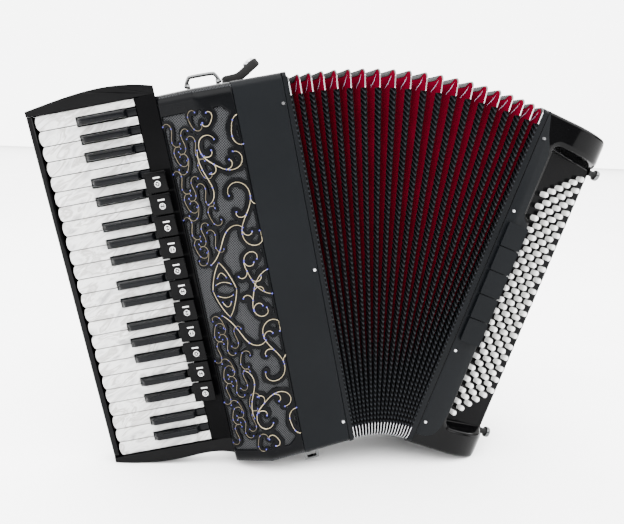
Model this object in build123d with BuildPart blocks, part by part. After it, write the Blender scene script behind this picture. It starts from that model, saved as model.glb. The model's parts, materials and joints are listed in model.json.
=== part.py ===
from build123d import *
import math
import os

# Piano accordion, standing on its keyboard corner and its bass corner with the bellows fanned open.
# Millimetres, +Z up, front toward -Y, keyboard toward -X, bass end toward +X.

os.makedirs("parts", exist_ok=True)

# ---------------------------------------------------------------- how the ends stand, and the bellows between
body_depth = 196.0
treble_lean = 13.1
bass_lean = 19.9
fold_count = 20
fold_pitch = 4.67
fan_evenness = 1.1
fan_skew = 1.2
first_fold_foot = (22.68, -95.75, 65.54)

fold_thickness = 3.3
fold_depth = 24.0
fold_below = 21.0
fold_above = 477.5
fold_corner = 9.0


def leaning(origin, lean):
    """Frame of one section leaning `lean` degrees to +X: x across, y to the back, z along its length."""
    angle = math.radians(lean)
    return Plane(
        origin=origin,
        x_dir=(math.cos(angle), 0, -math.sin(angle)),
        z_dir=(math.sin(angle), 0, math.cos(angle)),
    )


def level(frame, height):
    """Cross-section plane of a section at a height: sketch x across, sketch y to the back."""
    return frame.offset(height)


def facing(frame, depth):
    """Front-facing plane of a section at a depth: sketch x across, y up. Extruding below zero goes backward."""
    return Plane(origin=frame.origin + frame.y_dir * depth, x_dir=frame.x_dir, z_dir=-frame.y_dir)


def side(frame, across):
    """Side plane of a section: sketch x to the back, sketch y up, normal pointing across."""
    return Plane(origin=frame.origin + frame.x_dir * across, x_dir=frame.y_dir, z_dir=frame.x_dir)


def fold_openings():
    """Degrees between each ridge and the next: the folds fan widest a little past the middle."""
    gaps = fold_count - 1
    weights = [fan_evenness + math.sin(math.pi * ((gap + 0.5) / gaps) ** fan_skew) for gap in range(gaps)]
    return [(treble_lean + bass_lean) * weight / sum(weights) for weight in weights]


def fold_frames():
    """One frame per bellows ridge: each stands a fold pitch beside the last and leans by its own opening."""
    frames = [leaning(first_fold_foot, -treble_lean)]
    x, y, z = first_fold_foot
    lean = -treble_lean
    for opening in fold_openings():
        middle = math.radians(lean + opening / 2)
        x += fold_pitch * math.cos(middle)
        z -= fold_pitch * math.sin(middle)
        lean += opening
        frames.append(leaning((x, y, z), lean))
    return frames


folds = fold_frames()
treble = folds[0]
bass = folds[-1]

# ---------------------------------------------------------------- treble body
case_left = -72.0
case_right = -7.0
case_bottom = -23.0
case_top = 484.0
wall = 7.0
case_edge_radius = 6.0
vent_pitch = (24.0, 20.0)
vent_size = (16.0, 9.0)
vent_rows = 23
vent_centre_y = 80.0

grille_right = case_left - 0.3
grille_front = -2.0
crease_x = -119.0
rail_x = -164.0
rail_front = 29.0
grille_foot = 45.5
grille_wall = 2.4
crease_radius = 9.0
grille_end_plate = 3.0
leaf_rows = 16
leaf_pitch = 26.6
front_leaf = (9.5, 5.0)
flank_leaf = (8.5, 5.2)
mesh_thickness = 0.7

# ---------------------------------------------------------------- keyboard
white_count = 24
white_pitch = 19.6
key_gap = 1.0
first_key_top = 486.5
tip_x = -316.8
tip_y = 69.1
cap_end_x = -191.2
key_slope = math.tan(math.radians(11.5))
key_height = 18.0
stick_drop = 3.0
stick_end_x = -165.5
tip_bulge = 3.2
black_length = 51.0
black_width = 10.8
black_rise = 10.5
black_bevel = 5.0
black_top_end_x = -206.5
black_dip_x = -203.0
black_dip = 1.0
axle_x = -172.0
axle_y = 50.5
axle_radius = 1.6
running_fit = 0.05

note_order = ["f", "g", "a", "b", "c", "d", "e"]
sharp_after = {"c": "c_sharp", "d": "d_sharp", "f": "f_sharp", "g": "g_sharp", "a": "a_sharp"}
sharp_shift = {"c_sharp": -0.12, "d_sharp": 0.12, "f_sharp": -0.16, "g_sharp": 0.0, "a_sharp": 0.16}

rail_left_x = -326.0
rail_right_x = -318.9
bed_drop = 24.5
bed_thickness = 12.0
box_left_x = -164.0
box_front_y = grille_foot + 0.4
box_back_y = 116.0
box_wall = 6.0
cheek_rise = 3.0
cheek_reach = 130.0

# ---------------------------------------------------------------- registers on the treble side
register_count = 11
register_pitch = 28.75
register_centre_z = 235.2
register_left_x = -201.0
register_right_x = -173.5
register_slope = -0.367
register_front_y = 34.0
register_thickness = 4.0
register_travel = 2.5
engaged_register = 5

# ---------------------------------------------------------------- bass body
bass_left = 9.0
bass_right = 138.0
bass_bottom = -24.0
bass_top = 478.0
bass_corner = 28.0
panel_edge_x = 47.0
panel_thickness = 3.0
board_angle = 22.0
board_origin = (61.9, 26.5)
board_thickness = 3.0
board_near = -13.5
board_far = 80.0
board_low = 18.0
board_high = 436.0
recess_low = 12.0
recess_high = 442.0
button_rows = 6
buttons_in_row = 20
row_spacing = 12.6
button_spacing = 17.95
row_step = 9.05
row_centre_z = 203.4
button_radius = 4.3
button_height = 7.0
button_stem = 8.0
button_round = 2.6


def white_keys():
    """Every white key from the top as (note name, slot number)."""
    return [(note_order[slot % 7], slot) for slot in range(white_count)]


def key_plane_y(x):
    """Depth of the white keys' playing surface at a distance across the keyboard."""
    return tip_y - (x - tip_x) * key_slope


def sharp_centre(note, slot):
    """Height of the centre of the black key that follows a white key."""
    edge = first_key_top - (slot + 1) * white_pitch
    return edge - sharp_shift[sharp_after[note]] * white_pitch


def white_outline(note, slot):
    """Outline of one white key seen from the front, notched for its black neighbours, with a bulged tip."""
    upper = first_key_top - slot * white_pitch - key_gap / 2
    lower = first_key_top - (slot + 1) * white_pitch + key_gap / 2
    notch_x = tip_x + black_length - key_gap
    inner_upper = upper
    inner_lower = lower
    if slot > 0 and note_order[(slot - 1) % 7] in sharp_after:
        above = note_order[(slot - 1) % 7]
        inner_upper = sharp_centre(above, slot - 1) - black_width / 2 - key_gap
    if slot < white_count - 1 and note in sharp_after:
        inner_lower = sharp_centre(note, slot) + black_width / 2 + key_gap
    points = [(tip_x + tip_bulge, lower)]
    if inner_lower != lower:
        points += [(notch_x, lower), (notch_x, inner_lower)]
    points += [(stick_end_x, inner_lower), (stick_end_x, inner_upper)]
    if inner_upper != upper:
        points += [(notch_x, inner_upper), (notch_x, upper)]
    points += [(tip_x + tip_bulge, upper)]
    with BuildLine() as outline:
        Polyline(points)
        ThreePointArc((tip_x + tip_bulge, upper), (tip_x, (upper + lower) / 2), (tip_x + tip_bulge, lower))
    return outline.line


def stick_profile(left_x, rise, bevel):
    """Side outline of a key: playing surface, step down under the wall, axle end and underside."""
    front = [(left_x, key_plane_y(left_x))]
    if rise:
        front = [
            (left_x, key_plane_y(left_x) + 2.0),
            (left_x + bevel, key_plane_y(left_x + bevel) - rise),
            (black_top_end_x, key_plane_y(black_top_end_x) - rise),
            (black_dip_x, key_plane_y(black_dip_x) + black_dip),
        ]
    with BuildLine() as outline:
        Polyline(
            *front,
            (cap_end_x, key_plane_y(cap_end_x) + (black_dip if rise else 0.0)),
            (cap_end_x, key_plane_y(cap_end_x) + stick_drop),
            (stick_end_x, key_plane_y(stick_end_x) + stick_drop),
            (stick_end_x, key_plane_y(stick_end_x) + key_height),
            (left_x, key_plane_y(left_x) + key_height),
            close=True,
        )
    return outline.line


def axle_circle(height, radius):
    """Circle round the key axle at one height of the keyboard."""
    with BuildSketch(level(treble, height)) as circle:
        with Locations((axle_x, axle_y)):
            Circle(radius)
    return circle.sketch


# ---------------------------------------------------------------- treble case, bellows frame and pins
pin_heights = (10.0, 228.0, 446.0)
pin_x = -12.0
pin_radius = 1.3
pin_head = 2.6
pin_dome = 1.4
pin_taper = 28.0
lip_length = 13.2
flange_corner = 6.0


def ridge_outline(frame, across):
    """Outline of one bellows ridge: a rounded frame standing at a distance across its own frame."""
    with BuildSketch(side(frame, across)) as outline:
        with Locations((body_depth / 2, (fold_above - fold_below) / 2)):
            RectangleRounded(body_depth, fold_above + fold_below, fold_corner)
            Rectangle(body_depth - 2 * fold_depth, fold_above + fold_below - 2 * fold_depth, mode=Mode.SUBTRACT)
    return outline.sketch


def lip_outline(frame, across, low, high):
    """Wooden lip of a bellows frame that reaches inside a case."""
    inset = wall + 0.3
    with BuildSketch(side(frame, across)) as outline:
        with Locations((body_depth / 2, (low + high) / 2)):
            Rectangle(body_depth - 2 * inset, high - low - 2 * inset)
            Rectangle(body_depth - 2 * inset - 2 * wall, high - low - 2 * inset - 2 * wall, mode=Mode.SUBTRACT)
    return outline.sketch


def flange_outline(frame, across, low, high):
    """Outer flange of a bellows frame, flush with the case it closes."""
    with BuildSketch(side(frame, across)) as outline:
        with Locations((body_depth / 2, (low + high) / 2)):
            RectangleRounded(body_depth, high - low, flange_corner)
            Rectangle(body_depth - 2 * fold_depth, high - low - 2 * fold_depth, mode=Mode.SUBTRACT)
    return outline.sketch


def pin_circles(frame, depth, across, heights, radius):
    """Circles round the bellows pins at one depth of the body."""
    with BuildSketch(facing(frame, depth)) as circles:
        with Locations([(across, height) for height in heights]):
            Circle(radius)
    return circles.sketch


with BuildPart() as treble_case:
    with BuildSketch(level(treble, case_bottom)):
        with Locations(((case_left + case_right) / 2, body_depth / 2)):
            Rectangle(case_right - case_left, body_depth)
    extrude(amount=case_top - case_bottom)
    fillet(treble_case.edges().filter_by(Axis(treble.origin, treble.x_dir)), radius=case_edge_radius)
    left_edges = treble_case.edges().group_by(Axis(treble.origin, treble.x_dir))[0]
    fillet(left_edges.group_by(Axis.Y)[-1], radius=case_edge_radius - 1)
    with BuildSketch(level(treble, case_bottom + wall)):
        with BuildLine():
            Polyline(
                (case_left + wall, wall),
                (case_right + 1, wall),
                (case_right + 1, body_depth - wall),
                (case_left + wall, body_depth - wall),
                close=True,
            )
        make_face()
    extrude(amount=case_top - case_bottom - 2 * wall, mode=Mode.SUBTRACT)
    with BuildSketch(side(treble, case_left - 1)):
        with Locations((vent_centre_y, (case_bottom + case_top) / 2)):
            with GridLocations(vent_pitch[0], vent_pitch[1], 2, vent_rows):
                SlotOverall(vent_size[0], vent_size[1])
    extrude(amount=wall + 2, mode=Mode.SUBTRACT)
    holes = pin_circles(treble, -1, pin_x, pin_heights, pin_radius + running_fit)
    extrude(to_extrude=holes, amount=-(body_depth + 2), mode=Mode.SUBTRACT)
treble_case.part.label = "treble_case"
export_step(treble_case.part, "parts/treble_case.step")


with BuildPart() as treble_bellows_frame:
    flange_left = case_right + 0.2
    flange = flange_outline(treble, flange_left, case_bottom, case_top)
    extrude(to_extrude=flange, amount=-fold_thickness / 2 - flange_left)
    lip = lip_outline(treble, flange_left - lip_length, case_bottom, case_top)
    extrude(to_extrude=lip, amount=lip_length)
    extrude(to_extrude=ridge_outline(treble, -fold_thickness / 2), amount=fold_thickness)
    holes = pin_circles(treble, -1, pin_x, pin_heights, pin_radius + running_fit)
    extrude(to_extrude=holes, amount=-(body_depth + 2), mode=Mode.SUBTRACT)
treble_bellows_frame.part.label = "treble_bellows_frame"
export_step(treble_bellows_frame.part, "parts/treble_bellows_frame.step")

with BuildPart() as treble_bellows_pins:
    for depth, inward in ((-0.1, -1), (body_depth + 0.1, 1)):
        shanks = pin_circles(treble, depth, pin_x, pin_heights, pin_radius)
        extrude(to_extrude=shanks, amount=inward * 2 * wall)
        heads = pin_circles(treble, depth, pin_x, pin_heights, pin_head)
        extrude(to_extrude=heads, amount=-inward * pin_dome, taper=pin_taper)
treble_bellows_pins.part.label = "treble_bellows_pins"
export_step(treble_bellows_pins.part, "parts/treble_bellows_pins.step")

# ---------------------------------------------------------------- bellows folds between the two frames
for number in range(2, len(folds)):
    with BuildPart() as bellows_fold:
        extrude(to_extrude=ridge_outline(folds[number - 1], -fold_thickness / 2), amount=fold_thickness)
    bellows_fold.part.label = f"bellows_fold_{number:02d}"
    export_step(bellows_fold.part, f"parts/bellows_fold_{number:02d}.step")


# ---------------------------------------------------------------- grille and the mesh behind it
def grille_path(inset):
    """Corner points of the grille skin from the case edge, round the crease, to the rail beside the keys."""
    return [
        (grille_right, grille_front + inset),
        (crease_x + 0.3 * inset, grille_front + 1.5 + inset),
        (rail_x + 0.8 * inset, rail_front + 0.6 * inset),
        (rail_x + inset, grille_foot),
    ]


def grille_section(outer_inset, inner_inset):
    """Outline of the skin between two insets as one closed strip."""
    outer = grille_path(outer_inset)
    inner = grille_path(inner_inset)
    with BuildLine() as outline:
        Polyline(outer + inner[::-1], close=True)
    return outline.line


def grille_end():
    """Outline of the full end plate that closes the grille at top and bottom."""
    outer = grille_path(0)
    with BuildLine() as outline:
        Polyline(outer + [(grille_right, grille_foot)], close=True)
    return outline.line


grille_low = case_bottom
grille_high = case_top

with BuildPart() as grille:
    with BuildSketch(level(treble, grille_low)):
        add(grille_section(0, grille_wall))
        make_face()
    extrude(amount=grille_high - grille_low)
    crease_edges = grille.edges().filter_by(Axis(treble.origin, treble.z_dir), tolerance=0.01)
    at_crease = crease_edges.filter_by(lambda edge: abs(treble.to_local_coords(edge.center()).X - crease_x) < 3)
    fillet(at_crease, crease_radius)
    for height in (grille_low, grille_high - grille_end_plate):
        with BuildSketch(level(treble, height)):
            add(grille_end())
            make_face()
        extrude(amount=grille_end_plate)
    # Openwork: leaf-shaped windows in two leaning columns, one column on the flank beside the keys.
    with BuildSketch(facing(treble, -10)):
        for row in range(leaf_rows):
            height = 32 + row * leaf_pitch
            with Locations(Location((-86, height, 0), (0, 0, 1), 35)):
                Ellipse(*front_leaf)
            with Locations(Location((-104, height + 12, 0), (0, 0, 1), -35)):
                Ellipse(*front_leaf)
    extrude(amount=-25, mode=Mode.SUBTRACT)
    with BuildSketch(side(treble, rail_x - 10)):
        for row in range(leaf_rows):
            height = 38 + row * leaf_pitch
            with Locations(Location((15, height, 0), (0, 0, 1), 60)):
                Ellipse(*flank_leaf)
    extrude(amount=42, mode=Mode.SUBTRACT)
grille.part.label = "grille"
export_step(grille.part, "parts/grille.step")

with BuildPart() as grille_mesh:
    with BuildSketch(level(treble, grille_low + 3.3)):
        with BuildLine():
            Polyline(
                [(x + 0.2, y) for x, y in grille_path(grille_wall + 0.9)[:3]]
                + [(x + 0.2, y) for x, y in grille_path(grille_wall + 0.9 + mesh_thickness)[:3]][::-1],
                close=True,
            )
        make_face()
    extrude(amount=grille_high - grille_low - 6.6)
grille_mesh.part.label = "grille_mesh"
export_step(grille_mesh.part, "parts/grille_mesh.step")


# ---------------------------------------------------------------- keyboard bed, cheeks and wall
def wing_profile(front_offset, right_x):
    """Outline of the slanted keyboard wing: from a surface beside the keys back to the rear of the bed."""
    with BuildLine() as outline:
        Polyline(
            (rail_left_x, key_plane_y(rail_left_x) + front_offset),
            (right_x, key_plane_y(right_x) + front_offset),
            (right_x, key_plane_y(right_x) + bed_drop + bed_thickness),
            (rail_left_x, key_plane_y(rail_left_x) + bed_drop + bed_thickness),
            close=True,
        )
    return outline.line


keys_low = first_key_top - white_count * white_pitch
bed_low = keys_low - 0.4
bed_high = first_key_top + 0.4

with BuildPart() as keyboard_bed:
    with BuildSketch(level(treble, bed_low)):
        add(wing_profile(bed_drop, box_left_x))
        make_face()
        with BuildLine():
            Polyline(
                (rail_left_x, key_plane_y(rail_left_x) - 1),
                (rail_right_x, key_plane_y(rail_right_x) - 1),
                (rail_right_x, key_plane_y(rail_right_x) + bed_drop + 1),
                (rail_left_x, key_plane_y(rail_left_x) + bed_drop + 1),
                close=True,
            )
        make_face()
    extrude(amount=bed_high - bed_low)
    with BuildSketch(level(treble, case_bottom)):
        with Locations(((box_left_x + grille_right) / 2, (box_front_y + box_back_y) / 2)):
            Rectangle(grille_right - box_left_x, box_back_y - box_front_y)
    extrude(amount=case_top - case_bottom)
    with BuildSketch(level(treble, case_bottom + box_wall)):
        # The hollow box is open at the front and toward the treble case.
        with Locations((box_left_x + box_wall, box_front_y - 5)):
            hollow_depth = box_back_y - box_front_y + 5 - box_wall
            Rectangle(grille_right - box_left_x, hollow_depth, align=(Align.MIN, Align.MIN))
    extrude(amount=case_top - case_bottom - 2 * box_wall, mode=Mode.SUBTRACT)
keyboard_bed.part.label = "keyboard_bed"
export_step(keyboard_bed.part, "parts/keyboard_bed.step")

cheek_right_x = box_left_x - 0.3
top_arch = [(-326.0, 494.0), (-284.0, 501.0), (-230.0, 506.0), (-190.0, 503.0), (cheek_right_x, 497.0)]
bottom_arch = [(-326.0, 9.0), (-284.0, 0.5), (-240.0, -2.5), (-196.0, -1.0), (cheek_right_x, -8.0)]

for cheek_name, arch, bed_edge in (
    ("keyboard_cheek_top", top_arch, bed_high + 0.2),
    ("keyboard_cheek_bottom", bottom_arch, bed_low - 0.2),
):
    with BuildPart() as keyboard_cheek:
        with BuildSketch(facing(treble, 0)):
            with BuildLine():
                Spline(arch)
                Polyline(arch[-1], (cheek_right_x, bed_edge), (rail_left_x, bed_edge), arch[0])
            make_face()
        extrude(amount=-cheek_reach)
        with BuildSketch(level(treble, bottom_arch[-1][1] - 5)):
            add(wing_profile(-cheek_rise, cheek_right_x))
            make_face()
        extrude(amount=case_top - case_bottom + 2 * case_edge_radius, mode=Mode.INTERSECT)
        bore = axle_circle(bed_low - 5, axle_radius + running_fit)
        extrude(to_extrude=bore, amount=bed_high - bed_low + 10, mode=Mode.SUBTRACT)
    keyboard_cheek.part.label = cheek_name
    export_step(keyboard_cheek.part, f"parts/{cheek_name}.step")

wall_left_x = -190.4
wall_right_x = rail_x - 0.4
wall_left_y = 43.0
wall_slope = -0.5
wall_sheet = 2.5


def wall_y(x):
    """Depth of the front of the polished wall that rises from the keys to the grille rail."""
    return wall_left_y + (x - wall_left_x) * wall_slope


def register_heights():
    """Height of the centre of each treble register tab."""
    first = register_centre_z + register_pitch * (register_count - 1) / 2
    return [first - register_pitch * index for index in range(register_count)]


stem_x = -181.0
stem_width = 3.0
stem_height = 12.0
stem_front_y = 29.0
stem_back_y = 39.4

with BuildPart() as keyboard_wall:
    with BuildSketch(level(treble, bed_low + 0.3)):
        with BuildLine():
            Polyline(
                (wall_left_x, wall_y(wall_left_x)),
                (wall_right_x, wall_y(wall_right_x)),
                (wall_right_x, wall_y(wall_right_x) + wall_sheet),
                (wall_left_x, wall_y(wall_left_x) + wall_sheet),
                close=True,
            )
        make_face()
    extrude(amount=bed_high - bed_low - 0.6)
    with BuildSketch(facing(treble, 20)):
        with Locations([(stem_x + 2.2, height) for height in register_heights()]):
            Rectangle(stem_width + 3.0, stem_height + 0.6)
    extrude(amount=-30, mode=Mode.SUBTRACT)
keyboard_wall.part.label = "keyboard_wall"
export_step(keyboard_wall.part, "parts/keyboard_wall.step")

with BuildPart() as key_axle:
    extrude(to_extrude=axle_circle(bed_low - 4.5, axle_radius), amount=bed_high - bed_low + 9.0)
key_axle.part.label = "key_axle"
export_step(key_axle.part, "parts/key_axle.step")

# ---------------------------------------------------------------- the twelve key groups, one per note name
for name in note_order:
    with BuildPart() as white_key:
        with BuildSketch(facing(treble, 30)):
            for note, slot in white_keys():
                if note == name:
                    add(white_outline(note, slot))
                    make_face()
        extrude(amount=-70)
        with BuildSketch(level(treble, keys_low - 10)):
            add(stick_profile(tip_x, 0.0, tip_bulge))
            make_face()
        extrude(amount=white_count * white_pitch + 20, mode=Mode.INTERSECT)
        bore = axle_circle(keys_low, axle_radius + running_fit)
        extrude(to_extrude=bore, amount=first_key_top - keys_low, mode=Mode.SUBTRACT)
    white_key.part.label = f"key_{name}"
    export_step(white_key.part, f"parts/key_{name}.step")

for name, sharp in sharp_after.items():
    with BuildPart() as black_key:
        with BuildSketch(facing(treble, 20)):
            for note, slot in white_keys():
                if note == name and slot < white_count - 1:
                    centre_x = (tip_x + black_length + stick_end_x) / 2
                    with Locations((centre_x, sharp_centre(note, slot))):
                        Rectangle(stick_end_x - tip_x - black_length, black_width)
        extrude(amount=-80)
        with BuildSketch(level(treble, keys_low - 10)):
            add(stick_profile(tip_x + black_length, black_rise, black_bevel))
            make_face()
        extrude(amount=white_count * white_pitch + 20, mode=Mode.INTERSECT)
        bore = axle_circle(keys_low, axle_radius + running_fit)
        extrude(to_extrude=bore, amount=first_key_top - keys_low, mode=Mode.SUBTRACT)
    black_key.part.label = f"key_{sharp}"
    export_step(black_key.part, f"parts/key_{sharp}.step")


# ---------------------------------------------------------------- treble register tabs
def tab_outline(pressed):
    """Cross-section outline of a register tab and its stem, sunk by `pressed` along its facing direction."""
    steep = math.atan(register_slope)
    sink = Location((-math.sin(steep) * pressed, math.cos(steep) * pressed, 0))
    far_y = register_front_y + (register_right_x - register_left_x) * register_slope
    with BuildLine() as outline:
        Polyline(
            (register_left_x, register_front_y),
            (register_right_x, far_y),
            (register_right_x, far_y + register_thickness),
            (register_left_x, register_front_y + register_thickness),
            close=True,
        )
    return outline.line.moved(sink)


def stem_outline(pressed):
    """Cross-section outline of the stem that guides a register tab through the wall."""
    steep = math.atan(register_slope)
    sink = Location((-math.sin(steep) * pressed, math.cos(steep) * pressed, 0))
    with BuildLine() as outline:
        Polyline(
            (stem_x, stem_front_y),
            (stem_x + stem_width, stem_front_y),
            (stem_x + stem_width, stem_back_y),
            (stem_x, stem_back_y),
            close=True,
        )
    return outline.line.moved(sink)


tab_height = register_pitch - 1.6
raised = [height for index, height in enumerate(register_heights()) if index != engaged_register]

with BuildPart() as treble_registers:
    for height in raised:
        with BuildSketch(level(treble, height - tab_height / 2)):
            add(tab_outline(0.0))
            make_face()
        extrude(amount=tab_height)
        with BuildSketch(level(treble, height - stem_height / 2)):
            add(stem_outline(0.0))
            make_face()
        extrude(amount=stem_height)
treble_registers.part.label = "treble_registers"
export_step(treble_registers.part, "parts/treble_registers.step")

with BuildPart() as treble_register_engaged:
    height = register_heights()[engaged_register]
    with BuildSketch(level(treble, height - tab_height / 2)):
        add(tab_outline(register_travel))
        make_face()
    extrude(amount=tab_height)
    with BuildSketch(level(treble, height - stem_height / 2)):
        add(stem_outline(register_travel))
        make_face()
    extrude(amount=stem_height)
treble_register_engaged.part.label = "treble_register_engaged"
export_step(treble_register_engaged.part, "parts/treble_register_engaged.step")

# ---------------------------------------------------------------- strap hardware on the treble body
loop_y = 70.0
loop_z = case_top + 5.6
loop_wire = 1.6
loop_rise = 12.0
loop_foot_x = (-112.0, -87.0)
loop_head_x = (-107.0, -92.0)
loop_bend = 4.0
post_x = (-119.0, -80.0)
post_width = 4.0
post_depth = 10.0
post_crown = 4.0
base_plate = (52.0, 16.0, 2.0)
lower_place = (-60.0, 30.0)
lower_plate = (30.0, 14.0, 2.0)
lower_ring = (20.0, 19.0)
lower_ring_hole = (13.0, 14.0)
lower_ring_depth = 8.0
lower_ring_drop = 11.0

with BuildPart() as strap_brackets:
    with BuildSketch(level(treble, case_top)):
        with Locations(((post_x[0] + post_x[1]) / 2, loop_y)):
            RectangleRounded(base_plate[0], base_plate[1], 4)
    extrude(amount=base_plate[2])
    for x in post_x:
        with BuildSketch(side(treble, x - post_width / 2)):
            with Locations((loop_y, (case_top + 1 + loop_z) / 2)):
                Rectangle(post_depth, loop_z - case_top - 1)
            with Locations((loop_y, loop_z)):
                Circle(post_crown)
        extrude(amount=post_width)
    with BuildSketch(side(treble, post_x[0] - 5)):
        with Locations((loop_y, loop_z)):
            Circle(loop_wire + running_fit)
    extrude(amount=post_x[1] - post_x[0] + 21, mode=Mode.SUBTRACT)
    with BuildSketch(level(treble, case_bottom - lower_plate[2])):
        with Locations(lower_place):
            RectangleRounded(lower_plate[0], lower_plate[1], 3)
    extrude(amount=lower_plate[2])
    with BuildSketch(facing(treble, lower_place[1] - lower_ring_depth / 2)):
        with Locations((lower_place[0], case_bottom - lower_ring_drop)):
            Rectangle(*lower_ring)
            Rectangle(*lower_ring_hole, mode=Mode.SUBTRACT)
    extrude(amount=-lower_ring_depth)
strap_brackets.part.label = "strap_brackets"
export_step(strap_brackets.part, "parts/strap_brackets.step")

with BuildPart() as strap_loop:
    with BuildSketch(side(treble, post_x[0] - post_width)):
        with Locations((loop_y, loop_z)):
            Circle(loop_wire)
    extrude(amount=post_x[1] - post_x[0] + 2 * post_width)
    loop_plane = facing(treble, loop_y)
    with BuildLine():
        loop_path = FilletPolyline(
            loop_plane.from_local_coords((loop_foot_x[0], loop_z, 0)),
            loop_plane.from_local_coords((loop_head_x[0], loop_z + loop_rise, 0)),
            loop_plane.from_local_coords((loop_head_x[1], loop_z + loop_rise, 0)),
            loop_plane.from_local_coords((loop_foot_x[1], loop_z, 0)),
            radius=loop_bend,
        )
    with BuildSketch(Plane(origin=loop_path @ 0, z_dir=loop_path % 0)):
        Circle(loop_wire)
    sweep(path=loop_path)
strap_loop.part.label = "strap_loop"
export_step(strap_loop.part, "parts/strap_loop.step")

strap_width = 20.0
strap_start_y = 30.0
# Side outline of the strap that ties the bellows shut: it lies on the case, then curves up at its free end.
strap_underside = [(-78.0, 0.3), (-58.0, 0.3), (-46.0, 6.0), (-26.0, 17.0)]
strap_upper_side = [(-27.2, 19.0), (-47.0, 8.6), (-59.0, 3.2), (-78.0, 3.2)]

with BuildPart() as bellows_strap:
    with BuildSketch(facing(treble, strap_start_y)):
        with BuildLine():
            Polyline([(x, case_top + rise) for x, rise in strap_underside + strap_upper_side], close=True)
        make_face()
    extrude(amount=-strap_width)
bellows_strap.part.label = "bellows_strap"
export_step(bellows_strap.part, "parts/bellows_strap.step")

# ---------------------------------------------------------------- bass frame, case, panel and board
bass_pin_heights = (12.0, 122.5, 333.0, 440.0)
bass_pin_x = 17.0

with BuildPart() as bass_bellows_frame:
    flange_right = bass_left - 0.2
    flange = flange_outline(bass, fold_thickness / 2, bass_bottom, bass_top)
    extrude(to_extrude=flange, amount=flange_right - fold_thickness / 2)
    lip = lip_outline(bass, flange_right, bass_bottom, bass_top)
    extrude(to_extrude=lip, amount=lip_length)
    extrude(to_extrude=ridge_outline(bass, -fold_thickness / 2), amount=fold_thickness + 0.1)
    holes = pin_circles(bass, -1, bass_pin_x, bass_pin_heights, pin_radius + running_fit)
    extrude(to_extrude=holes, amount=-(body_depth + 2), mode=Mode.SUBTRACT)
bass_bellows_frame.part.label = "bass_bellows_frame"
export_step(bass_bellows_frame.part, "parts/bass_bellows_frame.step")

board_along = (math.cos(math.radians(board_angle)), math.sin(math.radians(board_angle)))
board_out = (math.sin(math.radians(board_angle)), -math.cos(math.radians(board_angle)))


def board_point(along, out):
    """Cross-section point a distance along the button board from its first row and a distance out of it."""
    return (
        board_origin[0] + board_along[0] * along + board_out[0] * out,
        board_origin[1] + board_along[1] * along + board_out[1] * out,
    )


def board_plane(out):
    """Plane of the button board: sketch x along the board from the bellows, y up, normal out of it."""
    x, y = board_point(0, out)
    return Plane(
        origin=bass.from_local_coords((x, y, 0)),
        x_dir=bass.x_dir * board_along[0] + bass.y_dir * board_along[1],
        z_dir=bass.x_dir * board_out[0] + bass.y_dir * board_out[1],
    )


air_place = (84.0, 396.0)
air_cap_radius = 7.0
air_cap_height = 8.0
air_stem = 3.0
air_stem_length = 12.0
air_travel = 4.0
air_well_radius = air_cap_radius + 0.3
air_well_depth = air_travel + 0.8

# The recess round the buttons widens toward the bellows over a stretch above the register tabs.
recess_wide_x = 35.3
recess_wide_low = 337.0
recess_wide_high = 431.0
recess_step = 11.0
recess_outline = [
    (panel_edge_x, recess_low),
    (panel_edge_x, recess_wide_low - recess_step),
    (recess_wide_x, recess_wide_low),
    (recess_wide_x, recess_wide_high),
    (panel_edge_x, recess_high),
    (bass_right + 10, recess_high),
    (bass_right + 10, recess_low),
]
# Cross-section of the rounded front of the bass case: flat beside the panel, then curving back to its outer side.
bass_front_flat = 66.0
bass_front_back = 62.0
bass_front_bow = [(104.0, 10.0), (129.0, 34.0)]

with BuildPart() as recess:
    with BuildSketch(facing(bass, -20)):
        with BuildLine():
            Polyline(recess_outline, close=True)
        make_face()
    extrude(amount=-120)
    with BuildSketch(level(bass, recess_low - 5)):
        with BuildLine():
            Polyline(
                board_point(-40, 0),
                board_point(110, 0),
                board_point(110, 120),
                board_point(-40, 120),
                close=True,
            )
        make_face()
    extrude(amount=recess_high - recess_low + 10, mode=Mode.INTERSECT)

corner_sag = bass_corner * (1 - math.sqrt(0.5))

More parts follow.
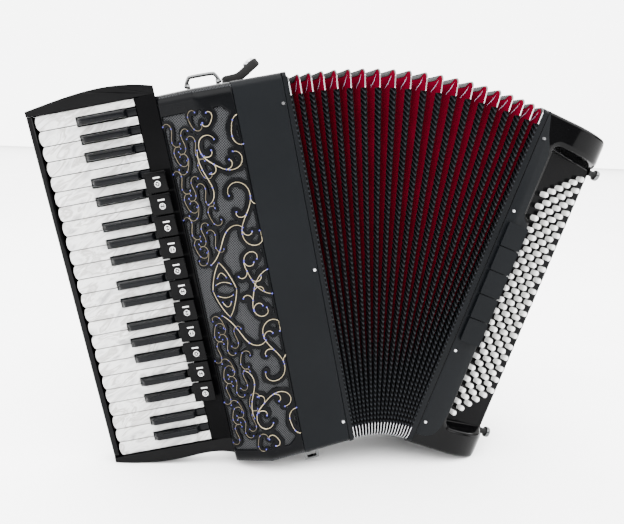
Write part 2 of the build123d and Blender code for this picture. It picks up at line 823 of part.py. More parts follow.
with BuildPart() as bass_case:
    with BuildSketch(level(bass, bass_bottom)):
        with BuildLine():
            Polyline(
                (bass_right, bass_front_back),
                (bass_right, body_depth),
                (bass_left, body_depth),
                (bass_left, panel_thickness + 0.1),
                (panel_edge_x, panel_thickness + 0.1),
                (panel_edge_x, 0),
                (bass_front_flat, 0),
            )
            Spline(
                (bass_front_flat, 0),
                *bass_front_bow,
                (bass_right, bass_front_back),
                tangents=[(1, 0), (0, 1)],
            )
        make_face()
    extrude(amount=bass_top - bass_bottom)
    with BuildSketch(facing(bass, -10)):
        with BuildLine():
            Polyline(
                (bass_left - 1, bass_bottom - 1),
                (bass_left - 1, bass_top + 1),
                (bass_right - bass_corner, bass_top + 1),
                (bass_right - bass_corner, bass_top),
            )
            ThreePointArc(
                (bass_right - bass_corner, bass_top),
                (bass_right - corner_sag, bass_top - corner_sag),
                (bass_right, bass_top - bass_corner),
            )
            Line((bass_right, bass_top - bass_corner), (bass_right, bass_bottom + bass_corner))
            ThreePointArc(
                (bass_right, bass_bottom + bass_corner),
                (bass_right - corner_sag, bass_bottom + corner_sag),
                (bass_right - bass_corner, bass_bottom),
            )
            Polyline(
                (bass_right - bass_corner, bass_bottom),
                (bass_right - bass_corner, bass_bottom - 1),
                (bass_left - 1, bass_bottom - 1),
            )
        make_face()
    extrude(amount=-(body_depth + 20), mode=Mode.INTERSECT)
    with BuildSketch(level(bass, bass_bottom + wall)):
        with BuildLine():
            Polyline(
                (bass_left - 1, wall),
                (34, wall),
                board_point(-24, -6.5),
                board_point(78, -6.5),
                (bass_right - wall, body_depth - wall),
                (bass_left - 1, body_depth - wall),
                close=True,
            )
        make_face()
    extrude(amount=bass_top - bass_bottom - 2 * wall, mode=Mode.SUBTRACT)
    add(recess.part, mode=Mode.SUBTRACT)
    with BuildSketch(board_plane(0)):
        with Locations(((board_near + board_far) / 2, (board_low + board_high) / 2)):
            Rectangle(board_far - board_near + 0.4, board_high - board_low + 0.4)
    extrude(amount=-(board_thickness + 0.1), mode=Mode.SUBTRACT)
    with BuildSketch(board_plane(0)):
        with Locations(((board_near + board_far) / 2, (board_low + board_high) / 2)):
            Rectangle(board_far - board_near - 10, board_high - board_low - 10)
    extrude(amount=-12, mode=Mode.SUBTRACT)
    with BuildSketch(side(bass, bass_right + 1)):
        with Locations(air_place):
            Circle(air_stem + running_fit)
    extrude(amount=-wall - 2, mode=Mode.SUBTRACT)
    with BuildSketch(side(bass, bass_right + 1)):
        with Locations(air_place):
            Circle(air_well_radius)
    extrude(amount=-air_well_depth - 1, mode=Mode.SUBTRACT)
    holes = pin_circles(bass, -1, bass_pin_x, bass_pin_heights, pin_radius + running_fit)
    extrude(to_extrude=holes, amount=-(body_depth + 2), mode=Mode.SUBTRACT)
bass_case.part.label = "bass_case"
export_step(bass_case.part, "parts/bass_case.step")

bass_tab_count = 5
bass_tab_pitch = 36.0
bass_tab_centre_z = 228.0
bass_tab_left = 15.0
bass_tab_right = 46.0
bass_tab_stem = (6.0, 14.0)
bass_tab_gap = 1.6
bass_tab_lift = 2.8
bass_tab_thickness = 3.2


def bass_tab_centres():
    """Centres of the bass register tabs on the front panel."""
    lowest = bass_tab_centre_z - bass_tab_pitch * (bass_tab_count - 1) / 2
    middle = (bass_tab_left + bass_tab_right) / 2
    return [(middle, lowest + bass_tab_pitch * index) for index in range(bass_tab_count)]


with BuildPart() as bass_front_panel:
    with BuildSketch(facing(bass, panel_thickness)):
        with BuildLine():
            Polyline(
                (bass_left, bass_bottom),
                (bass_left, bass_top),
                (panel_edge_x - 0.2, bass_top),
                (panel_edge_x - 0.2, recess_high + 0.6),
                (recess_wide_x - 0.2, recess_wide_high),
                (recess_wide_x - 0.2, recess_wide_low),
                (panel_edge_x - 0.2, recess_wide_low - recess_step),
                (panel_edge_x - 0.2, bass_bottom),
                close=True,
            )
        make_face()
        with Locations(bass_tab_centres()):
            Rectangle(bass_tab_stem[0] + 0.4, bass_tab_stem[1] + 0.4, mode=Mode.SUBTRACT)
    extrude(amount=panel_thickness)
    holes = pin_circles(bass, -1, bass_pin_x, bass_pin_heights, pin_radius + running_fit)
    extrude(to_extrude=holes, amount=-(body_depth + 2), mode=Mode.SUBTRACT)
bass_front_panel.part.label = "bass_front_panel"
export_step(bass_front_panel.part, "parts/bass_front_panel.step")

with BuildPart() as bass_bellows_pins:
    for depth, inward in ((-0.1, -1), (body_depth + 0.1, 1)):
        shanks = pin_circles(bass, depth, bass_pin_x, bass_pin_heights, pin_radius)
        extrude(to_extrude=shanks, amount=inward * 2 * wall)
        heads = pin_circles(bass, depth, bass_pin_x, bass_pin_heights, pin_head)
        extrude(to_extrude=heads, amount=-inward * pin_dome, taper=pin_taper)
bass_bellows_pins.part.label = "bass_bellows_pins"
export_step(bass_bellows_pins.part, "parts/bass_bellows_pins.step")

with BuildPart() as bass_registers:
    with BuildSketch(facing(bass, -bass_tab_lift)):
        with Locations(bass_tab_centres()):
            RectangleRounded(bass_tab_right - bass_tab_left, bass_tab_pitch - bass_tab_gap, 1.5)
    extrude(amount=bass_tab_thickness)
    with BuildSketch(facing(bass, -bass_tab_lift - 0.1)):
        with Locations(bass_tab_centres()):
            Rectangle(bass_tab_stem[0], bass_tab_stem[1])
    extrude(amount=-bass_tab_thickness)
bass_registers.part.label = "bass_registers"
export_step(bass_registers.part, "parts/bass_registers.step")


def button_places(row):
    """Centres of one row of bass buttons on the board plane."""
    along = row * row_spacing
    middle = row_centre_z + row * row_step
    lowest = middle - (buttons_in_row - 1) / 2 * button_spacing
    return [(along, lowest + index * button_spacing) for index in range(buttons_in_row)]


with BuildPart() as bass_button_board:
    with BuildSketch(board_plane(0)):
        with Locations(((board_near + board_far) / 2, (board_low + board_high) / 2)):
            Rectangle(board_far - board_near, board_high - board_low)
        for row in range(button_rows):
            with Locations(button_places(row)):
                Circle(button_radius + 2 * running_fit, mode=Mode.SUBTRACT)
    extrude(amount=-board_thickness)
bass_button_board.part.label = "bass_button_board"
export_step(bass_button_board.part, "parts/bass_button_board.step")

for row in range(button_rows):
    with BuildPart() as bass_buttons:
        with BuildSketch(board_plane(-button_stem)):
            with Locations(button_places(row)):
                Circle(button_radius)
        extrude(amount=button_stem + button_height)
        outermost = bass_buttons.faces().sort_by(Axis(bass.origin, board_plane(0).z_dir))[-buttons_in_row:]
        fillet(outermost.edges(), button_round)
    bass_buttons.part.label = f"bass_buttons_row_{row + 1}"
    export_step(bass_buttons.part, f"parts/bass_buttons_row_{row + 1}.step")

# ---------------------------------------------------------------- outer end of the bass body
foot_places = [(60.0, 12.0), (60.0, 436.0), (160.0, 12.0), (160.0, 436.0)]
foot_stem_radius = 4.5
foot_stem_length = 11.0
foot_pad_radius = 8.0
foot_pad_thickness = 6.0

with BuildPart() as bass_feet:
    with BuildSketch(side(bass, bass_right)):
        with Locations(foot_places):
            Circle(foot_stem_radius)
    extrude(amount=foot_stem_length)
    with BuildSketch(side(bass, bass_right + foot_stem_length)):
        with Locations(foot_places):
            Circle(foot_pad_radius)
    extrude(amount=foot_pad_thickness)
bass_feet.part.label = "bass_feet"
export_step(bass_feet.part, "parts/bass_feet.step")

hand_strap_low = 40.0
hand_strap_high = 412.0
hand_strap_rise = 27.0
hand_strap_front = 104.0
hand_strap_width = 60.0
hand_strap_thickness = 3.5
strap_tab = 26.0
strap_shoulder = 90.0
hand_strap_middle = (hand_strap_low + hand_strap_high) / 2


def strap_side(lift, tab, shoulder):
    """One side of the hand strap's outline: flat at both ends, bowed out over the middle."""
    foot = bass_right + 0.3 + lift
    crown = bass_right + hand_strap_rise - hand_strap_thickness + lift
    return [
        (foot, hand_strap_low + tab),
        (crown - 3.0, hand_strap_low + shoulder),
        (crown, hand_strap_middle),
        (crown - 3.0, hand_strap_high - shoulder),
        (foot, hand_strap_high - tab),
    ]


with BuildPart() as bass_strap:
    with BuildSketch(facing(bass, hand_strap_front)):
        inner = strap_side(0.0, strap_tab, strap_shoulder)
        outer = strap_side(hand_strap_thickness, strap_tab - 2, strap_shoulder - 2)
        with BuildLine():
            Line((inner[0][0], hand_strap_low), inner[0])
            Spline(inner)
            Polyline(inner[-1], (inner[-1][0], hand_strap_high), (outer[-1][0], hand_strap_high), outer[-1])
            Spline(outer[::-1])
            Polyline(outer[0], (outer[0][0], hand_strap_low), (inner[0][0], hand_strap_low))
        make_face()
    extrude(amount=-hand_strap_width)
bass_strap.part.label = "bass_strap"
export_step(bass_strap.part, "parts/bass_strap.step")

with BuildPart() as air_button:
    with BuildSketch(side(bass, bass_right + 0.4)):
        with Locations(air_place):
            Circle(air_cap_radius)
    extrude(amount=air_cap_height)
    fillet(air_button.faces().sort_by(Axis(bass.origin, bass.x_dir))[-1].edges(), button_round)
    with BuildSketch(side(bass, bass_right + 1)):
        with Locations(air_place):
            Circle(air_stem)
    extrude(amount=-air_stem_length)
air_button.part.label = "air_button"
export_step(air_button.part, "parts/air_button.step")
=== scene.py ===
import json
import math

import bmesh
import bpy
import numpy as np
from mathutils import Matrix, Vector


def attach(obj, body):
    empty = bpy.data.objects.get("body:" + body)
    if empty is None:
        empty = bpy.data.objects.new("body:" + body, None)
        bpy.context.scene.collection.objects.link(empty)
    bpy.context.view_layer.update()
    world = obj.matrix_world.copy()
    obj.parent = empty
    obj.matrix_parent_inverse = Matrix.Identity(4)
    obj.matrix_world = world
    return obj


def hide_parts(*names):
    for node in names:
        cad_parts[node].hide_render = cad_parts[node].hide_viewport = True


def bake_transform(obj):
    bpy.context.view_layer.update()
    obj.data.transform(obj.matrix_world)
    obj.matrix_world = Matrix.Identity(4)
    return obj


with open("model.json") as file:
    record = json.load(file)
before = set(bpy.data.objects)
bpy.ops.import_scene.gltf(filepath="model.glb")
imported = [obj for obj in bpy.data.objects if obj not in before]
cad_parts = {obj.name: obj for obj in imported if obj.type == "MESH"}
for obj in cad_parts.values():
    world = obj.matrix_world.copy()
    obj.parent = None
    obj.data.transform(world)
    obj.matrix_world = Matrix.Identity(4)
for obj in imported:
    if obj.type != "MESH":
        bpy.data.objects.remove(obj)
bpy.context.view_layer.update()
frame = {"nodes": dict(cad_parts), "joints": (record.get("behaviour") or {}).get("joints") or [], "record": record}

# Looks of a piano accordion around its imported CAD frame. Lengths are millimetres in the frame of one section
# (treble body, bass body or one bellows ridge): x across, y to the back, z along its length.
MM = 0.001


# ---------------------------------------------------------------- section frames, read from the CAD frame
def section(place, local, x_axis):
    """Matrix from a section's millimetres to the row frame, from one known point and its x axis."""
    x = Vector(x_axis).normalized()
    y = Vector((0, 1, 0))
    turn = Matrix((x, y, x.cross(y))).transposed()
    matrix = turn.to_4x4() @ Matrix.Scale(MM, 4)
    matrix.translation = Vector(place) - turn @ (Vector(local) * MM)
    return matrix


def named(items, name):
    """The joint or mount of that name."""
    return next(item for item in items if item["name"] == name)


def ridge_section(node):
    """Section frame of one bellows ridge: its thin direction is x and its lowest edge is at RIDGE_LOW."""
    points = np.array([v.co for v in frame["nodes"][node].data.vertices])
    flat = points[:, [0, 2]]
    middle = (flat.max(0) + flat.min(0)) / 2
    thin = np.linalg.eigh(np.cov((flat - middle).T))[1][:, 0]
    thin = thin * np.sign(thin[0])
    up = np.array([-thin[1], thin[0]])
    foot = flat.mean(0) @ thin * thin + (flat @ up).min() * up
    return section((foot[0], points[:, 1].min(), foot[1]), (0, 0, RIDGE_LOW), (thin[0], 0, thin[1]))


RIDGE_LOW = -21.0
RIDGE_HIGH = 477.5
BODY_DEPTH = 196.0
SWING_LOCAL = (-99.5, 70.0, 489.6)
FOOT_LOCAL = (155.0, 60.0, 436.0)
swing = named(frame["joints"], "strap_loop_swing")
foot_face = named(frame["record"]["mounts"], "bass_foot_face")
TREBLE = section(swing["pos_m"], SWING_LOCAL, swing["axis"])
BASS = section(foot_face["pos_m"], FOOT_LOCAL, foot_face["axis"])
FOLD_NUMBERS = range(2, 20)
RIDGES = [TREBLE] + [ridge_section(f"bellows_fold_{n:02d}") for n in FOLD_NUMBERS] + [BASS]
RIDGE_BODIES = ["treble"] + [f"fold_{n:02d}" for n in FOLD_NUMBERS] + ["bass"]


def local_points(node, place):
    """A CAD node's vertices in a section's millimetres."""
    back = np.array(place.inverted())
    points = np.array([v.co for v in frame["nodes"][node].data.vertices])
    return points @ back[:3, :3].T + back[:3, 3]


def node_box(node, place):
    """Lowest and highest corner of a CAD node in a section's millimetres."""
    points = local_points(node, place)
    return points.min(0), points.max(0)


def to_row(points, place):
    """Section millimetres to row metres, for a numpy array of points."""
    matrix = np.array(place)
    return np.asarray(points, float) @ matrix[:3, :3].T + matrix[:3, 3]


# ---------------------------------------------------------------- materials
def node_link(tree, source, sink):
    tree.links.new(source, sink)


def noise(tree, coords, scale, detail=4.0, rough=0.55, distortion=0.0):
    """A noise texture node on a coordinate socket."""
    node = tree.nodes.new("ShaderNodeTexNoise")
    node.inputs["Scale"].default_value = scale
    node.inputs["Detail"].default_value = detail
    node.inputs["Roughness"].default_value = rough
    node.inputs["Distortion"].default_value = distortion
    node_link(tree, coords, node.inputs["Vector"])
    return node.outputs["Fac"]


def ramp(tree, factor, stops):
    """A colour ramp over (position, colour) stops."""
    node = tree.nodes.new("ShaderNodeValToRGB")
    elements = node.color_ramp.elements
    while len(elements) < len(stops):
        elements.new(0.5)
    for element, (position, colour) in zip(elements, stops):
        element.position = position
        element.color = (*colour, 1.0)
    node_link(tree, factor, node.inputs["Fac"])
    return node.outputs["Color"]


def span(tree, factor, low, high, source=(0.3, 0.7)):
    """A value mapped from the middle of a noise to a range."""
    node = tree.nodes.new("ShaderNodeMapRange")
    node.inputs["From Min"].default_value = source[0]
    node.inputs["From Max"].default_value = source[1]
    node.inputs["To Min"].default_value = low
    node.inputs["To Max"].default_value = high
    node_link(tree, factor, node.inputs["Value"])
    return node.outputs["Result"]


def bump(tree, height, strength, distance, normal=None):
    """A bump node; distance is in metres."""
    node = tree.nodes.new("ShaderNodeBump")
    node.inputs["Strength"].default_value = strength
    node.inputs["Distance"].default_value = distance
    node_link(tree, height, node.inputs["Height"])
    if normal is not None:
        node_link(tree, normal, node.inputs["Normal"])
    return node.outputs["Normal"]


def coordinates(tree, stretch=(1.0, 1.0, 1.0), lean=0.0):
    """Object coordinates turned by a section's lean and stretched."""
    source = tree.nodes.new("ShaderNodeTexCoord")
    mapping = tree.nodes.new("ShaderNodeMapping")
    mapping.vector_type = "POINT"
    mapping.inputs["Rotation"].default_value = (0.0, lean, 0.0)
    node_link(tree, source.outputs["Object"], mapping.inputs["Vector"])
    scale = tree.nodes.new("ShaderNodeMapping")
    scale.inputs["Scale"].default_value = stretch
    node_link(tree, mapping.outputs["Vector"], scale.inputs["Vector"])
    return scale.outputs["Vector"]


def start_material(name, **constants):
    """A new node material; constants are set on the shader's own sockets."""
    material = bpy.data.materials.new(name)
    material.use_nodes = True
    shader = material.node_tree.nodes["Principled BSDF"]
    for socket, value in constants.items():
        shader.inputs[socket.replace("_", " ")].default_value = value
    return material, material.node_tree, shader


def paint(tree, shader, colour, roughness, normal):
    """Links a material's colour, roughness and bump to its shader."""
    for socket, source in (("Base Color", colour), ("Roughness", roughness), ("Normal", normal)):
        node_link(tree, source, shader.inputs[socket])


def wave(tree, coords, direction, scale, distortion):
    """A band texture across one direction."""
    node = tree.nodes.new("ShaderNodeTexWave")
    node.bands_direction = direction
    node.inputs["Scale"].default_value = scale
    node.inputs["Distortion"].default_value = distortion
    node_link(tree, coords, node.inputs["Vector"])
    return node.outputs["Fac"]


def combine(tree, operation, first, second):
    """Two values joined by a math node."""
    node = tree.nodes.new("ShaderNodeMath")
    node.operation = operation
    node_link(tree, first, node.inputs[0])
    node_link(tree, second, node.inputs[1])
    return node.outputs["Value"]


def mottled(name, colours, rough, scale, grain, grain_depth, stretch=(1.0, 1.0, 1.0), lean=0.0, **constants):
    """A surface with drifting colour and gloss and a fine grain bump."""
    material, tree, shader = start_material(name, **constants)
    coords = coordinates(tree, stretch, lean)
    drift = noise(tree, coords, scale, 5.0)
    gloss = noise(tree, coords, scale * 2.7, 6.0)
    fine = noise(tree, coords, grain, 3.0)
    paint(
        tree, shader, ramp(tree, drift, [(0.35, colours[0]), (0.65, colours[1])]), span(tree, gloss, *rough),
        bump(tree, fine, 0.35, grain_depth),
    )
    return material


TREBLE_LEAN = math.atan2(TREBLE[2][0], TREBLE[0][0])

lacquer = mottled(
    "black_lacquer", [(0.0005, 0.0005, 0.0006), (0.0010, 0.0010, 0.0011)], (0.07, 0.13), 9, 900, 0.00002,
    Coat_Weight=0.07, Coat_Roughness=0.03, Coat_IOR=1.5, Specular_IOR_Level=0.02,
)
deep_black = mottled(
    "deep_black", [(0.0005, 0.0005, 0.0006), (0.0009, 0.0009, 0.0010)], (0.16, 0.24), 9, 900, 0.00002,
    Coat_Weight=0.015, Coat_Roughness=0.04, Specular_IOR_Level=0.01,
)
satin = mottled(
    "black_satin", [(0.0011, 0.0014, 0.0018), (0.0016, 0.0020, 0.0025)], (0.40, 0.50), 6, 1400, 0.00006,
    Specular_IOR_Level=0.05,
)
grille_enamel = mottled(
    "grille_enamel", [(0.0006, 0.0007, 0.0009), (0.0011, 0.0012, 0.0015)], (0.26, 0.36), 12, 1200, 0.00002,
    Coat_Weight=0.02, Coat_Roughness=0.12, Specular_IOR_Level=0.03,
)
tab_gloss = mottled(
    "tab_gloss", [(0.0006, 0.0006, 0.0007), (0.0011, 0.0011, 0.0012)], (0.12, 0.20), 40, 1200, 0.00002,
    Coat_Weight=0.03, Coat_Roughness=0.05, Specular_IOR_Level=0.02,
)
gold = mottled(
    "pale_gold", [(0.20, 0.165, 0.10), (0.28, 0.235, 0.155)], (0.30, 0.42), 60, 900, 0.00003, Metallic=0.8,
)
# A darker copy of the gold for the wires on the grille's flank, which turns away from the light: painted shade.
flank_gold_painted_shade = mottled(
    "flank_gold_painted_shade", [(0.075, 0.060, 0.038), (0.11, 0.092, 0.062)], (0.34, 0.48), 60, 900, 0.00003, Metallic=0.8,
)
gem = mottled(
    "blue_gem", [(0.018, 0.018, 0.13), (0.04, 0.04, 0.24)], (0.08, 0.14), 300, 800, 0.00001,
    Coat_Weight=0.25, Specular_IOR_Level=0.2,
)
chrome = mottled(
    "chrome", [(0.34, 0.345, 0.355), (0.46, 0.46, 0.47)], (0.10, 0.18), 30, 700, 0.00002, Metallic=1.0,
)
# A darker copy of the chrome: on the tops of the bellows corner caps it is painted shade; elsewhere it colours the
# strap loop, brackets and foot caps.
dark_chrome = mottled(
    "dark_chrome", [(0.055, 0.057, 0.058), (0.085, 0.086, 0.086)], (0.10, 0.20), 30, 700, 0.00002,
    Metallic=1.0,
)
steel = mottled(
    "steel", [(0.36, 0.37, 0.39), (0.52, 0.52, 0.54)], (0.22, 0.36), 40, 900, 0.00002, (1, 1, 0.1),
    Metallic=1.0,
)
white_plastic = mottled(
    "white_button", [(0.40, 0.40, 0.39), (0.48, 0.48, 0.47)], (0.16, 0.26), 40, 1500, 0.00002,
    Coat_Weight=0.4, Coat_Roughness=0.06,
)
key_body = mottled(
    "key_body", [(0.05, 0.05, 0.05), (0.08, 0.08, 0.08)], (0.35, 0.5), 50, 1500, 0.00004, (0.2, 1, 1),
    TREBLE_LEAN,
)
black_key_plastic = mottled(
    "black_key", [(0.0008, 0.0009, 0.0012), (0.0014, 0.0016, 0.0021)], (0.22, 0.32), 30, 1600, 0.00005,
    (0.25, 1, 1), TREBLE_LEAN, Coat_Weight=0.03, Coat_Roughness=0.14, Specular_IOR_Level=0.05,
)
white_ink = mottled("white_ink", [(0.36, 0.36, 0.36), (0.46, 0.46, 0.46)], (0.4, 0.5), 200, 2000, 0.00002)
rubber = mottled(
    "black_rubber", [(0.002, 0.002, 0.002), (0.004, 0.004, 0.004)], (0.55, 0.7), 80, 2500, 0.0001,
    Specular_IOR_Level=0.1,
)
thread = mottled(
    "black_thread", [(0.006, 0.006, 0.007), (0.012, 0.012, 0.013)], (0.6, 0.75), 300, 3000, 0.0002,
    Specular_IOR_Level=0.1,
)
frame_wood = mottled(
    "frame_satin", [(0.0010, 0.0013, 0.0016), (0.0016, 0.0019, 0.0024)], (0.34, 0.46), 8, 1200, 0.00005,
    Specular_IOR_Level=0.05,
)


VEIN_TILT = 0.42


def pearl_material():
    """Pearl celluloid: soft grey and cream veins that run along the keys, under a clear gloss."""
    material, tree, shader = start_material("pearl", Coat_Weight=0.5, Coat_Roughness=0.05)
    coords = coordinates(tree, (9.0, 20.0, 30.0), TREBLE_LEAN + VEIN_TILT)
    veins = noise(tree, coords, 2.0, 3.0, 0.55, 1.1)
    colour = ramp(
        tree, veins,
        [(0.30, (0.17, 0.17, 0.17)), (0.42, (0.33, 0.33, 0.325)), (0.50, (0.43, 0.43, 0.425)),
         (0.58, (0.22, 0.215, 0.205)), (0.68, (0.45, 0.45, 0.45))],
    )
    paint(tree, shader, colour, span(tree, veins, 0.14, 0.30), bump(tree, veins, 0.08, 0.0003))
    return material


def cloth_material(name, colours, rough, thread, relief):
    """Woven cloth: two crossed sets of threads over a slow drift of colour."""
    material, tree, shader = start_material(name, Specular_IOR_Level=0.0)
    coords = coordinates(tree)
    threads = [wave(tree, coords, direction, thread, 0.6) for direction in ("X", "Z")]
    weave = combine(tree, "MULTIPLY", *threads)
    drift = noise(tree, coords, 22, 5.0)
    paint(
        tree, shader, ramp(tree, drift, [(0.3, colours[0]), (0.7, colours[1])]), span(tree, drift, *rough),
        bump(tree, weave, 0.3, relief),
    )
    return material


def tape_material():
    """Embossed black bellows tape: its raised ribs are painted lighter, a painted highlight, and are glossier than
    its grooves.
    """
    material, tree, shader = start_material("bellows_tape", Specular_IOR_Level=0.02)
    attribute = tree.nodes.new("ShaderNodeAttribute")
    attribute.attribute_name = "relief"
    relief = attribute.outputs["Fac"]
    grain = noise(tree, coordinates(tree), 1500, 3.0)
    # The ramp lightens the raised ribs: painted highlight.
    colour = ramp(
        tree, relief,
        [(0.30, (0.0001, 0.0001, 0.0001)), (0.70, (0.0012, 0.0013, 0.0015)),
         (0.95, (0.0090, 0.0098, 0.0112))],
    )
    paint(tree, shader, colour, span(tree, relief, 0.62, 0.36, (0.0, 1.0)), bump(tree, grain, 0.3, 0.00008))
    return material


WIRE_TILT = 0.75
WIRES_PER_METRE = 135.0


def mesh_material():
    """Fine grey metal mesh behind the grille: bright crossed wires over dark gaps."""
    material, tree, shader = start_material("grille_mesh_weave", Metallic=0.3, Specular_IOR_Level=0.1)
    crossed = [coordinates(tree, lean=tilt) for tilt in (WIRE_TILT, -WIRE_TILT)]
    wires = [wave(tree, coords, "X", WIRES_PER_METRE, 0.35) for coords in crossed]
    top = combine(tree, "MAXIMUM", *wires)
    colour = ramp(
        tree, top,
        [(0.45, (0.0006, 0.0006, 0.0008)), (0.78, (0.0045, 0.0048, 0.0054)), (0.97, (0.030, 0.031, 0.033))],
    )
    paint(tree, shader, colour, span(tree, top, 0.7, 0.4, (0.0, 1.0)), bump(tree, top, 0.8, 0.0006))
    return material


def leather_material():
    """Black leather with a pebbled grain."""
    material, tree, shader = start_material("black_leather", Specular_IOR_Level=0.10)
    coords = coordinates(tree)
    pebbles = tree.nodes.new("ShaderNodeTexVoronoi")
    pebbles.feature = "SMOOTH_F1"
    pebbles.inputs["Scale"].default_value = 700.0
    node_link(tree, coords, pebbles.inputs["Vector"])
    drift = noise(tree, coords, 25, 5.0)
    colour = ramp(tree, drift, [(0.3, (0.0010, 0.0010, 0.0010)), (0.7, (0.0026, 0.0025, 0.0024))])
    grain = bump(tree, pebbles.outputs["Distance"], 0.5, 0.00025)
    paint(tree, shader, colour, span(tree, drift, 0.42, 0.6), grain)
    return material


pearl = pearl_material()
red_cloth = cloth_material(
    "red_cloth", [(0.040, 0.0006, 0.0034), (0.058, 0.0008, 0.0052)], (0.70, 0.85), 420, 0.0001,
)
# Pale lilac for the glint strips in the gusset creases: a painted highlight.
crease_highlight = mottled(
    "painted_crease_highlight", [(0.16, 0.14, 0.20), (0.30, 0.27, 0.36)], (0.25, 0.4), 300, 900, 0.00005,
    Specular_IOR_Level=0.3,
)
tape = tape_material()
mesh_weave = mesh_material()
leather = leather_material()


# ---------------------------------------------------------------- mesh helpers
def make_object(name, vertices, faces, place, materials, face_slots=None, sharp=35.0, smooth=True):
    """A mesh object from section millimetres; place None means the vertices are row metres already."""
    mesh = bpy.data.meshes.new(name)
    vertices = np.asarray(vertices, float)
    if place is not None:
        vertices = to_row(vertices, place)
    mesh.from_pydata(vertices.tolist(), [], [list(map(int, face)) for face in faces])
    for material in materials:
        mesh.materials.append(material)
    if face_slots is not None:
        mesh.polygons.foreach_set("material_index", np.asarray(face_slots, np.int32))
    if smooth:
        mesh.shade_smooth()
        mesh.set_sharp_from_angle(angle=math.radians(sharp))
    mesh.update()
    piece = bpy.data.objects.new(name, mesh)
    bpy.context.scene.collection.objects.link(piece)
    return piece


def finish_mesh(bm, name, place, materials, sharp=35.0):
    """A mesh object from a bmesh in section millimetres."""
    bmesh.ops.recalc_face_normals(bm, faces=bm.faces)
    mesh = bpy.data.meshes.new(name)
    bm.to_mesh(mesh)
    bm.free()
    mesh.transform(place)
    for material in materials:
        mesh.materials.append(material)
    mesh.shade_smooth()
    mesh.set_sharp_from_angle(angle=math.radians(sharp))
    piece = bpy.data.objects.new(name, mesh)
    bpy.context.scene.collection.objects.link(piece)
    return piece


def add_prism(bm, loop_a, loop_b, bevel=0.0, segments=2, slot=0, limit=35.0):
    """A closed solid between two loops of the same length, with its sharp edges rounded."""
    count = len(loop_a)
    ring_a = [bm.verts.new(p) for p in loop_a]
    ring_b = [bm.verts.new(p) for p in loop_b]
    faces = [bm.faces.new(ring_a[::-1]), bm.faces.new(ring_b)]
    for i in range(count):
        j = (i + 1) % count
        faces.append(bm.faces.new((ring_a[i], ring_a[j], ring_b[j], ring_b[i])))
    for face in faces:
        face.material_index = slot
    if bevel:
        bm.normal_update()
        bmesh.ops.recalc_face_normals(bm, faces=faces)
        edges = {e for f in faces for e in f.edges if e.calc_face_angle(0.0) > math.radians(limit)}
        made = bmesh.ops.bevel(
            bm, geom=list(edges), offset=bevel, offset_type="OFFSET", segments=segments, profile=0.5,
            affect="EDGES", clamp_overlap=True, material=-1,
        )
        for face in made["faces"]:
            face.material_index = slot


def add_slab(bm, outline, low_y, high_y, **options):
    """A flat plate whose (x, z) outline runs straight back between two depths."""
    add_prism(bm, [(x, low_y, z) for x, z in outline], [(x, high_y, z) for x, z in outline], **options)


def add_box(bm, low, high, **options):
    """A box between two corners."""
    outline = [(low[0], low[2]), (high[0], low[2]), (high[0], high[2]), (low[0], high[2])]
    add_slab(bm, outline, low[1], high[1], **options)


def grid_faces(rows, columns, close_rows=False, close_columns=False):
    """Quads over a grid of rows x columns vertices numbered row by row."""
    row_steps = rows if close_rows else rows - 1
    column_steps = columns if close_columns else columns - 1
    r, c = np.meshgrid(np.arange(row_steps), np.arange(column_steps), indexing="ij")
    r, c = r.ravel(), c.ravel()
    r2, c2 = (r + 1) % rows, (c + 1) % columns
    return np.stack([r * columns + c, r2 * columns + c, r2 * columns + c2, r * columns + c2], 1)


def skin_faces(rings, width, inward=False):
    """Faces of a closed skin over rings of vertices, with a face on each end."""
    first = list(range(width))
    last = [(rings - 1) * width + c for c in range(width)]
    ends = [first[::-1], last] if inward else [first, last[::-1]]
    return grid_faces(rings, width, close_columns=True).tolist() + ends


def tube(points, radii, sides=8):
    """Vertices and faces of a round tube along points, closed at both ends."""
    points = np.asarray(points, float)
    radii = np.broadcast_to(np.asarray(radii, float), len(points))
    tangent = np.gradient(points, axis=0)
    tangent /= np.linalg.norm(tangent, axis=1)[:, None]
    helper = np.array([0.31, 0.87, 0.38])
    side = np.cross(tangent, helper)
    side /= np.linalg.norm(side, axis=1)[:, None]
    up = np.cross(side, tangent)
    angle = np.linspace(0, 2 * math.pi, sides, endpoint=False)
    ring = side[:, None, :] * np.cos(angle)[None, :, None] + up[:, None, :] * np.sin(angle)[None, :, None]
    vertices = (points[:, None, :] + ring * radii[:, None, None]).reshape(-1, 3)
    return vertices, skin_faces(len(points), sides)


def lathe(profile, centre, axis, sides=24):
    """Vertices and faces of a turned shape; its profile is (radius, distance along the axis)."""
    axis = np.asarray(axis, float) / np.linalg.norm(axis)
    helper = np.array([0.0, 0.0, 1.0]) if abs(axis[2]) < 0.9 else np.array([1.0, 0.0, 0.0])
    side = np.cross(helper, axis)
    side /= np.linalg.norm(side)
    up = np.cross(axis, side)
    angle = np.linspace(0, 2 * math.pi, sides, endpoint=False)
    vertices = []
    for radius, along in profile:
        ring = side * np.cos(angle)[:, None] * radius + up * np.sin(angle)[:, None] * radius
        vertices.append(np.asarray(centre, float) + axis * along + ring)
    return np.concatenate(vertices), skin_faces(len(profile), sides)


def gather(parts):
    """Joins (vertices, faces) parts into one."""
    vertices, faces, start = [], [], 0
    for part_vertices, part_faces in parts:
        vertices.append(np.asarray(part_vertices, float))
        faces += [[int(i) + start for i in face] for face in part_faces]
        start += len(part_vertices)
    return np.concatenate(vertices), faces


def settle(piece, body, node=None):
    """Puts a finished piece on its body and, where it has one, hides the CAD node it replaces."""
    if node:
        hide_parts(node)
    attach(piece, body)


def dress(node, material):
    """Gives a CAD node that stays in view its material."""
    mesh = frame["nodes"][node].data
    mesh.materials.clear()
    mesh.materials.append(material)


BEVEL_ANGLE = math.radians(40)
WELD_DISTANCE = 0.00001


